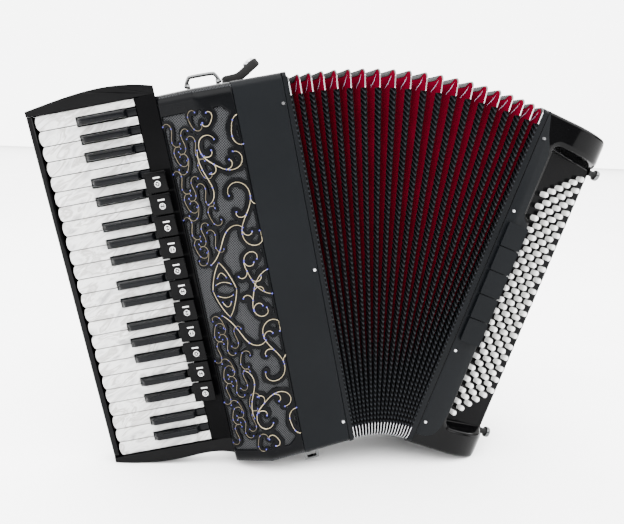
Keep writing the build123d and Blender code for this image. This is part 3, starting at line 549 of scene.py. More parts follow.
def soften(node, material, width, segments=2):
    """A CAD node that stays in view, with its edges rounded."""
    dress(node, material)
    piece = frame["nodes"][node]
    weld = piece.modifiers.new("weld", "WELD")
    weld.merge_threshold = WELD_DISTANCE
    rounding = piece.modifiers.new("rounding", "BEVEL")
    rounding.width = width * MM
    rounding.segments = segments
    rounding.limit_method = "ANGLE"
    rounding.angle_limit = BEVEL_ANGLE
    rounding.harden_normals = False


# ---------------------------------------------------------------- bellows
CREST = 1.65
WALL_LENGTH = 20.0
CORNER = 9.0
RIB_PERIOD = 6.5
ROW_STEP = RIB_PERIOD / 5
CLOTH_STEP = 5.0
TAPE_LIFT = 0.3
RIB_HEIGHT = 0.55
CREST_SPREAD = 0.28
TAPE_WIDTH = 6.0
TAPE_TUCK = 0.1
TAPE_COLUMNS = [(-0.5, 0.3), (1.5, 1), (3.0, 1), (4.5, 1), (5.7, 1), (TAPE_WIDTH, 0.8), (TAPE_WIDTH, 0)]
CORNER_BARE = 13.0
# Below this height the corners are taped too, darkening them: painted shade.
SHADE_TAPED_BELOW = 20.0
TOP_BARE = 1.5
BANDS = [RIDGE_LOW - 1, 60.0, 170.0, 300.0, RIDGE_HIGH + 1]


def ridge_outline(step):
    """Rows round a ridge: y, z, outward y and z, distance round, distance from the nearest corner arc."""
    low, high = RIDGE_LOW, RIDGE_HIGH
    corners = [
        ((BODY_DEPTH - CORNER, low + CORNER), -90), ((BODY_DEPTH - CORNER, high - CORNER), 0),
        ((CORNER, high - CORNER), 90), ((CORNER, low + CORNER), 180),
    ]
    rows, travelled = [], 0.0
    for index, ((cy, cz), angle) in enumerate(corners):
        arc = math.pi / 2 * CORNER
        count = max(6, round(arc / step))
        for k in range(count):
            a = math.radians(angle + 90 * k / count)
            y, z = cy + CORNER * math.cos(a), cz + CORNER * math.sin(a)
            rows.append((y, z, math.cos(a), math.sin(a), travelled + arc * k / count, 0.0))
        travelled += arc
        (ny, nz), _ = corners[(index + 1) % 4]
        a = math.radians(angle + 90)
        start = (cy + CORNER * math.cos(a), cz + CORNER * math.sin(a))
        end = (ny + CORNER * math.cos(a), nz + CORNER * math.sin(a))
        run = math.dist(start, end)
        count = max(2, round(run / step))
        for k in range(count):
            f = k / count
            y, z = (a0 + (a1 - a0) * f for a0, a1 in zip(start, end))
            rows.append((y, z, math.cos(a), math.sin(a), travelled + run * f, min(run * f, run * (1 - f))))
        travelled += run
    return np.array(rows)


FINE = ridge_outline(ROW_STEP)
COARSE = ridge_outline(CLOTH_STEP)


def relief_at(travel, across):
    """Height from 0 to 1 of the slanted ribs, at a distance round the ridge and one from its crest."""
    phase = (travel + across * 0.9) / RIB_PERIOD
    return np.abs(np.cos(math.pi * phase)) ** 1.3


def wall_points(rows, left, right):
    """For each row, in metres: shoulder of the left ridge, bottom of the fold, shoulder of the right one."""
    y, z, ny, nz = rows[:, 0], rows[:, 1], rows[:, 2], rows[:, 3]
    shoulder = np.stack([np.full_like(y, CREST), y - ny * CREST, z - nz * CREST], 1)
    a = to_row(shoulder, left)
    b = to_row(shoulder * [-1, 1, 1], right)
    half = np.linalg.norm(b - a, axis=1) / 2 / MM
    depth = CREST + np.sqrt(np.maximum(WALL_LENGTH**2 - half**2, 25.0))
    inner_y = np.clip(y, depth, BODY_DEPTH - depth)
    inner_z = np.clip(z, RIDGE_LOW + depth, RIDGE_HIGH - depth)
    valley = np.stack([np.zeros_like(y), inner_y, inner_z], 1)
    return a, (to_row(valley, left) + to_row(valley, right)) / 2, b


def taped(rows):
    """True where a ridge carries black tape, away from its metal corners, and all along the bottom, where the dark
    tape over the corners is painted shade.
    """
    bare = np.where(rows[:, 3] > 0.5, TOP_BARE, CORNER_BARE)
    return (rows[:, 5] > bare) | (rows[:, 1] < SHADE_TAPED_BELOW)


def blend_gap(piece):
    """Bakes a gap piece's placement into its mesh."""
    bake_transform(piece)


def add_relief(piece, heights):
    """Stores the height of the ribs on a piece, for the tape's material, which paints its highlight on the raised
    ribs.
    """
    attribute = piece.data.attributes.new("relief", "FLOAT", "POINT")
    attribute.data.foreach_set("value", heights.astype(np.float32))


def cloth_sheet(left, right):
    """Red cloth from crest to fold to crest: points, quads, rows, width, slot and rib heights."""
    a, v, b = wall_points(COARSE, left, right)
    down = (0.0, 0.25, 0.5, 0.75, 0.93)
    columns = [a + (v - a) * f for f in down] + [v] + [b + (v - b) * f for f in down[::-1]]
    red = np.stack(columns, 1).reshape(-1, 3)
    width = len(columns)
    return red, grid_faces(len(COARSE), width, close_rows=True), COARSE, width, 0, np.zeros(len(red))


def tape_sheet(near, valley, far, keep):
    """Embossed tape down one wall from its crest, as cloth_sheet gives it."""
    down = (valley - near) / np.linalg.norm(valley - near, axis=1)[:, None]
    over = (far - near) / np.linalg.norm(far - near, axis=1)[:, None]
    room = np.minimum(1.0, np.linalg.norm(far - near, axis=1) / MM / 1.5)
    columns, heights = [], []
    for place, share in TAPE_COLUMNS:
        relief = relief_at(FINE[:, 4], 2.6 + max(place, 0))
        lift = (TAPE_LIFT + RIB_HEIGHT * relief) * room * share
        if share == 0:
            lift = lift - TAPE_TUCK
            relief = relief * 0.0
        columns.append(near + (down * place + over * lift[:, None]) * MM)
        heights.append(relief)
    width = len(columns)
    faces = grid_faces(len(FINE), width, close_rows=True)
    faces = faces[keep[faces[:, 0] // width] & keep[faces[:, 1] // width]]
    return np.stack(columns, 1).reshape(-1, 3), faces, FINE, width, 1, np.stack(heights, 1).ravel()


def cut_band(sheets, low, high):
    """The parts of the sheets between two heights, joined: vertices, faces, slots and rib heights."""
    vertices, faces, slots, reliefs, start = [], [], [], [], 0
    for points, quads, rows, width, slot, relief in sheets:
        row = quads[:, 0] // width
        middle = (rows[row, 1] + rows[(row + 1) % len(rows), 1]) / 2
        chosen = quads[(middle >= low) & (middle < high)]
        used, inverse = np.unique(chosen, return_inverse=True)
        vertices.append(points[used])
        reliefs.append(relief[used])
        faces.append(inverse.reshape(chosen.shape) + start)
        slots.append(np.full(len(chosen), slot))
        start += len(used)
    return tuple(np.concatenate(each) for each in (vertices, faces, slots, reliefs))


def bellows_gap(index):
    """The folded walls between two ridges: red cloth all round and embossed tape near the crests."""
    left, right = RIDGES[index], RIDGES[index + 1]
    a, v, b = wall_points(FINE, left, right)
    keep = taped(FINE)
    sheets = [cloth_sheet(left, right), tape_sheet(a, v, b, keep), tape_sheet(b, v, a, keep)]
    for band, (low, high) in enumerate(zip(BANDS, BANDS[1:]), start=1):
        vertices, faces, slots, reliefs = cut_band(sheets, low, high)
        piece = make_object(
            f"bellows_wall_{index + 1:02d}_{band}", vertices, faces.tolist(), None, [red_cloth, tape], slots,
            sharp=60.0,
        )
        add_relief(piece, reliefs)
        blend_gap(piece)


GLINT_ROWS = 11
GLINT_WIDTH = 2.2
GLINT_DEPTHS = (0.72, 0.16)
GLINT_LIFT = 0.5
GLINT_STEPS = 14


def bellows_glint(index):
    """A painted highlight on the mitre crease in one gap's top front corner: a thin pale strip that runs down into
    the fold.
    """
    near, valley, far = wall_points(FINE, RIDGES[index], RIDGES[index + 1])
    at_corner = int(np.argmin(np.hypot(FINE[:, 2] + math.sqrt(0.5), FINE[:, 3] - math.sqrt(0.5))))
    last = at_corner + int(CORNER * math.pi / 4 / ROW_STEP) + GLINT_ROWS
    columns = []
    for edge in (-1.0, 0.0, 1.0):
        spots = []
        for step in range(GLINT_STEPS + 1):
            share = step / GLINT_STEPS
            half = GLINT_WIDTH / 2 * math.sin(math.pi * min(0.97, max(0.03, share)))
            row = last + (at_corner - last) * share + edge * half
            low, part = int(row), row - int(row)
            place = [points[low] * (1 - part) + points[low + 1] * part for points in (near, valley, far)]
            over = (place[0] - place[2]) / np.linalg.norm(place[0] - place[2])
            down = GLINT_DEPTHS[0] + (GLINT_DEPTHS[1] - GLINT_DEPTHS[0]) * share
            spots.append(place[2] + (place[1] - place[2]) * down + over * GLINT_LIFT * MM)
        columns.append(spots)
    grid = np.array(columns).transpose(1, 0, 2).reshape(-1, 3)
    faces = grid_faces(GLINT_STEPS + 1, 3).tolist()
    piece = make_object(f"bellows_glint_{index + 1:02d}", grid, faces, None, [crease_highlight])
    blend_gap(piece)


def bellows_ridge(index):
    """The crest of one ridge: embossed tape on the runs, bare red cloth at the top corners and black tape over the
    low corners as painted shade.
    """
    keep = taped(FINE)
    columns, heights = [], []
    for turn in (-90, -50, -20, 0, 20, 50, 90):
        across = math.radians(abs(turn)) * CREST
        relief = relief_at(FINE[:, 4], np.full(len(FINE), across))
        lift = np.where(keep, TAPE_LIFT + RIB_HEIGHT * relief, 0.0)
        out = (CREST + lift) * math.cos(math.radians(turn)) - CREST
        x = (CREST + lift * CREST_SPREAD) * math.sin(math.radians(turn))
        columns.append(np.stack([x, FINE[:, 0] + FINE[:, 2] * out, FINE[:, 1] + FINE[:, 3] * out], 1))
        heights.append(np.where(keep, relief, 0.0))
    width = len(columns)
    grid = np.stack(columns, 1).reshape(-1, 3)
    faces = grid_faces(len(FINE), width, close_rows=True)
    covered = keep[faces[:, 0] // width] & keep[faces[:, 1] // width]
    # The lowest corners are covered with black tape too: painted shade.
    covered |= FINE[faces[:, 0] // width, 1] < 0.0
    piece = make_object(
        f"bellows_crest_{index + 1:02d}", grid, faces.tolist(), RIDGES[index], [red_cloth, tape],
        covered.astype(np.int32), sharp=60.0,
    )
    add_relief(piece, np.stack(heights, 1).ravel())
    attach(piece, RIDGE_BODIES[index])
    if 0 < index < len(RIDGES) - 1:
        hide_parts(f"bellows_fold_{index + 1:02d}")


CAP_WIDTH = 1.9
BOTTOM_CAP_SHARE = 0.72
SHADED_TOP_FROM = 0.22
CAP_HEIGHT = 1.1
CAP_EDGE = 0.15
CAP_ROOT = 0.5
CAP_STEP = 0.9
CAP_LEG = 15.0
BOTTOM_CAP_LEG = 11.5
CAP_TAPER = 1.4


def corner_caps(index):
    """Four bright metal strips bent round the corners of one ridge; their tops take the darker chrome as painted
    shade.
    """
    parts, slots = [], []
    dense = ridge_outline(CAP_STEP)
    count = len(dense)
    in_arc = dense[:, 5] == 0.0
    starts = [i for i in range(count) if in_arc[i] and not in_arc[i - 1]]
    total = dense[:, 4].max() + CAP_STEP
    for start in starts:
        on_top = dense[start, 1] > (RIDGE_LOW + RIDGE_HIGH) / 2
        legs, share = (CAP_LEG, 1.0) if on_top else (BOTTOM_CAP_LEG, BOTTOM_CAP_SHARE)
        centre = dense[start, 4] + math.pi / 4 * CORNER
        distance = np.abs((dense[:, 4] - centre + total / 2) % total - total / 2)
        reach = math.pi / 4 * CORNER + legs
        inside = [i % count for i in range(start - 30, start + 60) if distance[i % count] <= reach]
        y, z, ny, nz = dense[inside, :4].T
        end_share = np.clip((reach - distance[inside]) / CAP_TAPER, 0.0, 1.0)
        taper = np.sqrt(end_share * (2 - end_share))
        columns = []
        for f in (-1.0, -0.85, -0.5, 0.0, 0.5, 0.85, 1.0):
            rise = CAP_HEIGHT * math.sqrt(max(0.0, 1 - f * f)) * taper + CAP_EDGE
            x = f * CAP_WIDTH / 2 * (0.35 + 0.65 * taper) * share
            columns.append(np.stack([x, y + ny * rise, z + nz * rise], 1))
        for side in (columns[-1], columns[0]):
            columns.append(np.stack([side[:, 0], y - ny * CAP_ROOT, z - nz * CAP_ROOT], 1))
        faces = skin_faces(len(inside), len(columns))
        # Faces on the tops of the caps take the darker chrome: painted shade.
        slots += [int(nz[face[0] // len(columns)] > SHADED_TOP_FROM) for face in faces[:-2]] + [0, 0]
        parts.append((np.stack(columns, 1).reshape(-1, 3), faces))
    piece = make_object(
        f"bellows_corners_{index + 1:02d}", *gather(parts), RIDGES[index], [chrome, dark_chrome], slots,
        sharp=50.0,
    )
    settle(piece, RIDGE_BODIES[index])


for ridge_index in range(len(RIDGES)):
    bellows_ridge(ridge_index)
    corner_caps(ridge_index)
for gap_index in range(len(RIDGES) - 1):
    bellows_gap(gap_index)
    bellows_glint(gap_index)

# ---------------------------------------------------------------- keys
WHITE_NOTES = ["f", "g", "a", "b", "c", "d", "e"]
SHARPS = {"c": "c_sharp", "d": "d_sharp", "f": "f_sharp", "g": "g_sharp", "a": "a_sharp"}
SHARP_SHIFT = {"c_sharp": -0.12, "d_sharp": 0.12, "f_sharp": -0.16, "g_sharp": 0.0, "a_sharp": 0.16}
WHITE_COUNT = 24
KEY_GAP = 1.0
KEY_SLOPE = math.tan(math.radians(11.5))
KEY_HEIGHT = 18.0
CAP_DEPTH = 2.3
TIP_BULGE = 3.2
TIP_SHARE = 0.93
TIP_STEPS = 8
CAP_END_X = -191.2
BLACK_LENGTH = 51.0
BLACK_WIDTH = 10.8
BLACK_TOP_WIDTH = 8.2
BLACK_RISE = 10.5
BLACK_CORNER = 1.9
white_points = {note: local_points(f"key_{note}", TREBLE) for note in WHITE_NOTES}
keys_top = max(points[:, 2].max() for points in white_points.values()) + KEY_GAP / 2
keys_bottom = min(points[:, 2].min() for points in white_points.values()) - KEY_GAP / 2
WHITE_PITCH = (keys_top - keys_bottom) / WHITE_COUNT
TIP_X = min(points[:, 0].min() for points in white_points.values())
TIP_Y = min((points[:, 1] + (points[:, 0] - TIP_X) * KEY_SLOPE).min() for points in white_points.values())


def key_plane(x):
    """Depth of the white keys' playing surface."""
    return TIP_Y - (x - TIP_X) * KEY_SLOPE


def sharp_centre(note, slot):
    """Height of the centre of the black key below a white one."""
    return keys_top - (slot + 1) * WHITE_PITCH - SHARP_SHIFT[SHARPS[note]] * WHITE_PITCH


def white_outline(note, slot, inset, end_x):
    """Outline (x, z) of one white key, notched for its black neighbours, with a rounded tip."""
    upper = keys_top - slot * WHITE_PITCH - KEY_GAP / 2 - inset
    lower = keys_top - (slot + 1) * WHITE_PITCH + KEY_GAP / 2 + inset
    notch_x = TIP_X + BLACK_LENGTH - KEY_GAP - inset
    points = []
    for f in np.linspace(-1.0, 1.0, TIP_STEPS + 1).tolist():
        back = TIP_BULGE * (1 - math.sqrt(max(0.0, 1 - TIP_SHARE * f * f))) / (1 - math.sqrt(1 - TIP_SHARE))
        points.append((TIP_X + inset + back, (upper + lower) / 2 + f * (upper - lower) / 2))
    above = WHITE_NOTES[(slot - 1) % 7]
    if slot > 0 and above in SHARPS:
        inner = sharp_centre(above, slot - 1) - BLACK_WIDTH / 2 - KEY_GAP - inset
        points += [(notch_x, upper), (notch_x, inner), (end_x, inner)]
    else:
        points += [(end_x, upper)]
    if slot < WHITE_COUNT - 1 and note in SHARPS:
        inner = sharp_centre(note, slot) + BLACK_WIDTH / 2 + KEY_GAP + inset
        points += [(end_x, inner), (notch_x, inner), (notch_x, lower)]
    else:
        points += [(end_x, lower)]
    return points


def white_keys(name):
    """The pearl caps and the bodies of all the white keys of one note."""
    caps, bodies = bmesh.new(), bmesh.new()
    for slot in range(WHITE_COUNT):
        if WHITE_NOTES[slot % 7] != name:
            continue
        outline = white_outline(name, slot, 0.0, CAP_END_X)
        top = [(x, key_plane(x), z) for x, z in outline]
        add_prism(caps, top, [(x, y + CAP_DEPTH, z) for x, y, z in top], bevel=0.7, segments=3, limit=30.0)
        outline = white_outline(name, slot, 0.35, CAP_END_X)
        top = [(x, key_plane(x) + CAP_DEPTH - 0.2, z) for x, z in outline]
        below = [(x, key_plane(x) + KEY_HEIGHT, z) for x, z in outline]
        add_prism(bodies, top, below, bevel=0.3, segments=1, limit=50.0)
    cap_piece = finish_mesh(caps, f"key_caps_{name}", TREBLE, [pearl])
    body_piece = finish_mesh(bodies, f"key_bodies_{name}", TREBLE, [key_body])
    settle(cap_piece, f"key_group_{name}", f"key_{name}")
    settle(body_piece, f"key_group_{name}")


def black_key_shape(centre_z):
    """One black key lofted along its length: sloped nose, crowned top, dip before the wall."""
    front = TIP_X + BLACK_LENGTH
    stations = [
        (front, 0.4, 0.55), (front + 0.4, 1.6, 0.75), (front + 1.4, 4.0, 0.9), (front + 3.4, 8.2, 0.97),
        (front + 4.4, 9.6, 1.0), (front + 5.8, 10.3, 1.0), (front + 8.0, BLACK_RISE, 1.0),
        (-225.0, BLACK_RISE + 0.1, 1.0), (-209.0, BLACK_RISE - 0.3, 1.0), (-206.8, BLACK_RISE - 1.4, 1.0),
        (-205.4, 6.0, 1.0), (-203.6, 0.4, 1.0), (-202.6, -0.9, 1.0), (CAP_END_X, -1.0, 1.0),
    ]
    rings = []
    for x, rise, spread in stations:
        base_y = key_plane(x) + 5.0
        top_y = key_plane(x) - rise
        share = max(0.0, min(1.0, rise / BLACK_RISE))
        base = BLACK_WIDTH / 2
        top = (BLACK_WIDTH * (1 - share) + BLACK_TOP_WIDTH * share) / 2
        r = min(BLACK_CORNER, top * 0.45)
        edge = top * (0.93 + 0.07 * spread)
        half = [(base, base_y), (base, key_plane(x) + 0.2), (edge, top_y + r)]
        half += [(edge - r + r * math.cos(a), top_y + r - r * math.sin(a)) for a in (0.45, 0.95, 1.35)]
        half += [(edge * 0.45, top_y - 0.12)]
        mirrored = [(-z, y) for z, y in half] + half[::-1]
        rings.append([(x, y, centre_z + z) for z, y in mirrored])
    return [p for ring in rings for p in ring], skin_faces(len(rings), len(rings[0]))


def black_keys(note):
    """All the black keys of one note."""
    parts = [
        black_key_shape(sharp_centre(note, slot))
        for slot in range(WHITE_COUNT - 1)
        if WHITE_NOTES[slot % 7] == note
    ]
    name = SHARPS[note]
    piece = make_object(f"black_keys_{name}", *gather(parts), TREBLE, [black_key_plastic], sharp=50.0)
    settle(piece, f"key_group_{name}", f"key_{name}")


for white_note in WHITE_NOTES:
    white_keys(white_note)
for sharp_note in SHARPS:
    black_keys(sharp_note)

# ---------------------------------------------------------------- grille
CASE_EDGE_RUN = 7.28
NORMAL_SMOOTHING = 12
GRILLE_BACK_Y = 45.5
GRILLE_CORNERS = [
    (-72.3, 6.0, 0.0), (-72.3, -2.0, 1.8), (-119.0, -0.5, 14.0), (-164.0, 29.0, 4.0),
    (-164.0, GRILLE_BACK_Y, 0.0),
]
GRILLE_SKIN = 2.1
GRILLE_ROLL = 15.0
GRILLE_EDGE = 1.5
GRILLE_END_RUN = 48.0
PATTERN_MIDDLE = 227.0
PATTERN_LEFT = 3.0
PATTERN_RIGHT = 99.0
PATTERN_REACH = 229.0
PATTERN_STEP = 1.1
PATTERN_CORNER = 9.0
FRONT_END = 60.0
grille_low_z, grille_high_z = (corner[2] for corner in node_box("grille", TREBLE))


def rounded_path(corners, step=0.5):
    """Dense points along a polyline whose corners (x, y, radius) are rounded."""
    points = [np.array(corners[0][:2])]
    for before, corner, after in zip(corners, corners[1:], corners[2:]):
        here = np.array(corner[:2])
        back = np.array(before[:2]) - here
        ahead = np.array(after[:2]) - here
        back, ahead = back / np.linalg.norm(back), ahead / np.linalg.norm(ahead)
        half = math.acos(max(-1.0, min(1.0, float(back @ ahead)))) / 2
        tangent = corner[2] / math.tan(half)
        centre = here + (back + ahead) / np.linalg.norm(back + ahead) * corner[2] / math.sin(half)
        start, end = here + back * tangent, here + ahead * tangent
        for f in np.linspace(0.0, 1.0, 9):
            spoke = (start - centre) * (1 - f) + (end - centre) * f
            points.append(centre + spoke / np.linalg.norm(spoke) * corner[2])
    points.append(np.array(corners[-1][:2]))
    dense = []
    for a, b in zip(points, points[1:]):
        count = max(1, int(np.linalg.norm(b - a) / step))
        dense += [a + (b - a) * k / count for k in range(count)]
    return np.array(dense + [points[-1]])


grille_line = rounded_path(GRILLE_CORNERS)
grille_travel = np.concatenate([[0.0], np.cumsum(np.linalg.norm(np.diff(grille_line, axis=0), axis=1))])
grille_travel -= CASE_EDGE_RUN
grille_tangent = np.gradient(grille_line, axis=0)
grille_tangent /= np.linalg.norm(grille_tangent, axis=1)[:, None]
grille_normal = np.stack([-grille_tangent[:, 1], grille_tangent[:, 0]], 1)
for _ in range(NORMAL_SMOOTHING):
    grille_normal[1:-1] = (grille_normal[:-2] + 2 * grille_normal[1:-1] + grille_normal[2:]) / 4
grille_normal /= np.linalg.norm(grille_normal, axis=1)[:, None]


def grille_points(u, v, lift):
    """Points on the grille: u round the section from the case edge, v up, lift outward from the skin."""
    u, v, lift = np.broadcast_arrays(np.asarray(u, float), np.asarray(v, float), np.asarray(lift, float))
    here = [np.interp(u, grille_travel, grille_line[:, k]) for k in (0, 1)]
    outward = [np.interp(u, grille_travel, grille_normal[:, k]) for k in (0, 1)]
    x, y = here[0] + outward[0] * lift, here[1] + outward[1] * lift
    top, bottom = grille_high_z - GRILLE_ROLL, grille_low_z + GRILLE_ROLL
    over = np.maximum(v - top, 0.0) - np.maximum(bottom - v, 0.0)
    turn = np.clip(np.abs(over) / GRILLE_ROLL, 0.0, math.pi / 2)
    past = np.clip((np.abs(over) - GRILLE_ROLL * math.pi / 2) / GRILLE_END_RUN, 0.0, 1.0)
    rise = np.sign(over) * GRILLE_ROLL * np.sin(turn)
    z = np.where(over == 0.0, v, np.where(over > 0, top, bottom) + rise)
    y = np.minimum(y + GRILLE_ROLL * (1 - np.cos(turn)), GRILLE_BACK_Y)
    y = y + (GRILLE_BACK_Y - y) * past
    return np.stack([x, y, z], -1)


# Scrolls of the openwork's upper half; the lower half mirrors them. Each has its middle (u, v), the heading
# there, its length, and how far it turns on its way to the first and to the last end, in degrees.
FRONT_SCROLLS = [
    (10.0, 428.0, -78.0, 58.0, -150.0, -110.0),
    (40.0, 388.0, -140.0, 122.0, -215.0, -225.0),
    (14.0, 318.0, -56.0, 152.0, 240.0, -265.0),
    (27.0, 246.0, -105.0, 92.0, -235.0, -60.0),
    (52.0, 372.0, -113.0, 76.0, -40.0, 100.0),
    (50.0, 291.0, -62.0, 76.0, -120.0, 30.0),
    (33.0, 441.0, -60.0, 34.0, 170.0, 170.0),
]
SCROLL_EASE = 1.9
SCROLL_STEP = 0.7
TENDRIL_SHARES = (0.36, 0.50, 0.64)
TENDRIL_LENGTH = 19.0
TENDRIL_SPLIT = 22.0
TENDRIL_CURL = 150.0
LONG_SCROLL = 80.0
FLANK_COLUMNS = (60.0, 75.0, 90.0)
FLANK_ROWS = 7
FLANK_ROW_STEP = 30.0
FLANK_START = 262.0
FLANK_LENGTH = 50.0
FLANK_CURL = 185.0
FLANK_LEAN = 18.0
FLANK_END = PATTERN_MIDDLE + PATTERN_REACH - 14
ORNAMENT_U = 62.0
ORNAMENT_HALF_WIDTH = 17.0
ORNAMENT_HALF_HEIGHT = 37.0


def scroll(u, v, heading, length, first_turn, last_turn):
    """A line through (u, v) that is straight there and curls up toward both ends."""
    t = np.linspace(-1.0, 1.0, 2 * int(length / SCROLL_STEP / 2) + 1)
    turned = np.abs(t) ** SCROLL_EASE * np.where(t < 0, -first_turn, last_turn)
    angle = np.radians(heading + turned)
    run = np.stack([np.cos(angle), np.sin(angle)], 1) * (length / (len(t) - 1))
    path = np.cumsum(run, axis=0)
    return path - path[len(t) // 2] + [u, v]


def tendrils(line):
    """Short curls that leave a long scroll to alternate sides."""
    curls = []
    for index, share in enumerate(TENDRIL_SHARES):
        start = int(share * (len(line) - 2))
        along = line[start + 1] - line[start]
        side = 1 if index % 2 else -1
        heading = math.atan2(along[1], along[0]) + math.radians(TENDRIL_SPLIT) * side
        count = int(TENDRIL_LENGTH / SCROLL_STEP)
        t = np.linspace(0.0, 1.0, count)
        angle = heading + math.radians(TENDRIL_CURL) * side * t**1.5
        run = np.stack([np.cos(angle), np.sin(angle)], 1) * SCROLL_STEP
        curls.append(line[start] + np.cumsum(run, axis=0) - run[0])
    return curls


def front_lines():
    """The large scrolls beside the panel with their tendrils."""
    lines = [scroll(*numbers) for numbers in FRONT_SCROLLS]
    for line, numbers in list(zip(lines, FRONT_SCROLLS)):
        if numbers[3] > LONG_SCROLL:
            lines += tendrils(line)
    return lines


def flank_lines():
    """Small scrolls in staggered columns: every second one is an S, the others are a C."""
    lines = []
    for column, u in enumerate(FLANK_COLUMNS):
        for row in range(FLANK_ROWS):
            side = 1 if (row + column) % 2 else -1
            v = FLANK_START + FLANK_ROW_STEP * (row + 0.33 * column)
            if (column or row) and v <= FLANK_END:
                last_turn = FLANK_CURL * (-side if row % 2 else side)
                lines.append(scroll(u, v, FLANK_LEAN * side - 90, FLANK_LENGTH, FLANK_CURL * side, last_turn))
    return lines


def ornament_lines():
    """A plain pointed leaf in the middle: two sides and two ribs."""
    lines = []
    for side in (-1, 1):
        a = np.linspace(0.0, math.pi / 2, 60)
        lines.append(np.stack([
            ORNAMENT_U + side * ORNAMENT_HALF_WIDTH * np.cos(a),
            PATTERN_MIDDLE + ORNAMENT_HALF_HEIGHT * (1 - np.cos(a)) ** 0.5 * np.sin(a) ** 0.5,
        ], 1))
    for reach in (0.28, 0.62):
        f = np.linspace(-0.8, 0.8, 50)
        rise = ORNAMENT_HALF_HEIGHT * reach * (1 - 0.45 * f**2)
        across = f * ORNAMENT_HALF_WIDTH * (1.1 - reach)
        lines.append(np.stack([ORNAMENT_U + across, PATTERN_MIDDLE + rise], 1))
    return lines


def smooth_line(points, step=0.7):
    """A Catmull-Rom curve through control points."""
    p = np.array(points, float)
    p = np.concatenate([[2 * p[0] - p[1]], p, [2 * p[-1] - p[-2]]])
    curve = []
    for a, b, c, d in zip(p, p[1:], p[2:], p[3:]):
        count = max(2, int(np.linalg.norm(c - b) / step))
        t = np.arange(count)[:, None] / count
        bend, twist = 2 * a - 5 * b + 4 * c - d, 3 * b - a - 3 * c + d
        curve.append(0.5 * (2 * b + (c - a) * t + bend * t**2 + twist * t**3))
    return np.concatenate(curve + [p[-2:-1]])


def both_halves(lines):
    """The lines with their mirror images in the lower half of the grille."""
    return lines + [np.stack([line[:, 0], 2 * PATTERN_MIDDLE - line[:, 1]], 1) for line in lines]


front_curves = both_halves(front_lines())
flank_curves = both_halves(flank_lines())
ornament_curves = both_halves(ornament_lines())
STROKES = ((front_curves, 6.2), (flank_curves, 4.3), (ornament_curves, 4.6))
STROKE_REACH = 12


def solid_field(u, v):
    """Above zero where the openwork is solid; falls about a millimetre per millimetre into the windows."""
    field = np.full(u.shape, -30.0)
    for curves, half_width in STROKES:
        for curve in curves:
            near = (u > curve[:, 0].min() - STROKE_REACH) & (u < curve[:, 0].max() + STROKE_REACH)
            near &= (v > curve[:, 1].min() - STROKE_REACH) & (v < curve[:, 1].max() + STROKE_REACH)
            if not near.any():
                continue
            spots = np.stack([u[near], v[near]], 1)
            gap = np.sqrt(((spots[:, None, :] - curve[None, ::2, :]) ** 2).sum(-1)).min(1)
            field[near] = np.maximum(field[near], half_width - gap)
    weave = 1.3 * np.sin(u * 0.31 + 0.7 * np.sin(v * 0.11)) * np.sin(v * 0.17 + u * 0.05)
    field = field + weave * np.clip((u - 2) / 10, 0, 1) * (u < FRONT_END)
    past_end = np.abs(v - PATTERN_MIDDLE) - PATTERN_REACH
    border = np.maximum(np.maximum(PATTERN_LEFT - u, u - PATTERN_RIGHT), past_end)
    slant = past_end + PATTERN_LEFT - u + 2 * PATTERN_CORNER
    border = np.maximum(border, slant * 0.7 - 0.3 * PATTERN_CORNER)
    return np.maximum(field, border)


def grille_lines():
    """Grid lines round and up the grille: fine over the openwork, coarse elsewhere."""
    edge_u = [-4, -2, -1.2, -0.8, -0.4, 0, 0.4, 0.8, 1.2]
    window_u = np.arange(PATTERN_LEFT - 1, PATTERN_RIGHT + 2, PATTERN_STEP)
    rail_u = [102, 104, 105.5, 107, 108.5, 110, 111, 114]
    u = np.concatenate([grille_travel[:1], edge_u, window_u, rail_u, grille_travel[-1:]])
    low, high = PATTERN_MIDDLE - PATTERN_REACH - 2, PATTERN_MIDDLE + PATTERN_REACH + 2
    window_v = np.arange(low, high, PATTERN_STEP)
    roll = GRILLE_ROLL * math.pi / 2
    turned = [-1.5, 0] + [roll * k / 8 for k in range(1, 9)] + [roll + GRILLE_END_RUN]
    above = [grille_high_z - GRILLE_ROLL + past for past in turned]
    below = [grille_low_z + GRILLE_ROLL - past for past in turned[::-1]]
    v = [line for line in below if line < low - 0.5] + list(window_v) + [high]
    return np.unique(np.round(u, 4)), np.array(v + [line for line in above if line > high + 0.5])


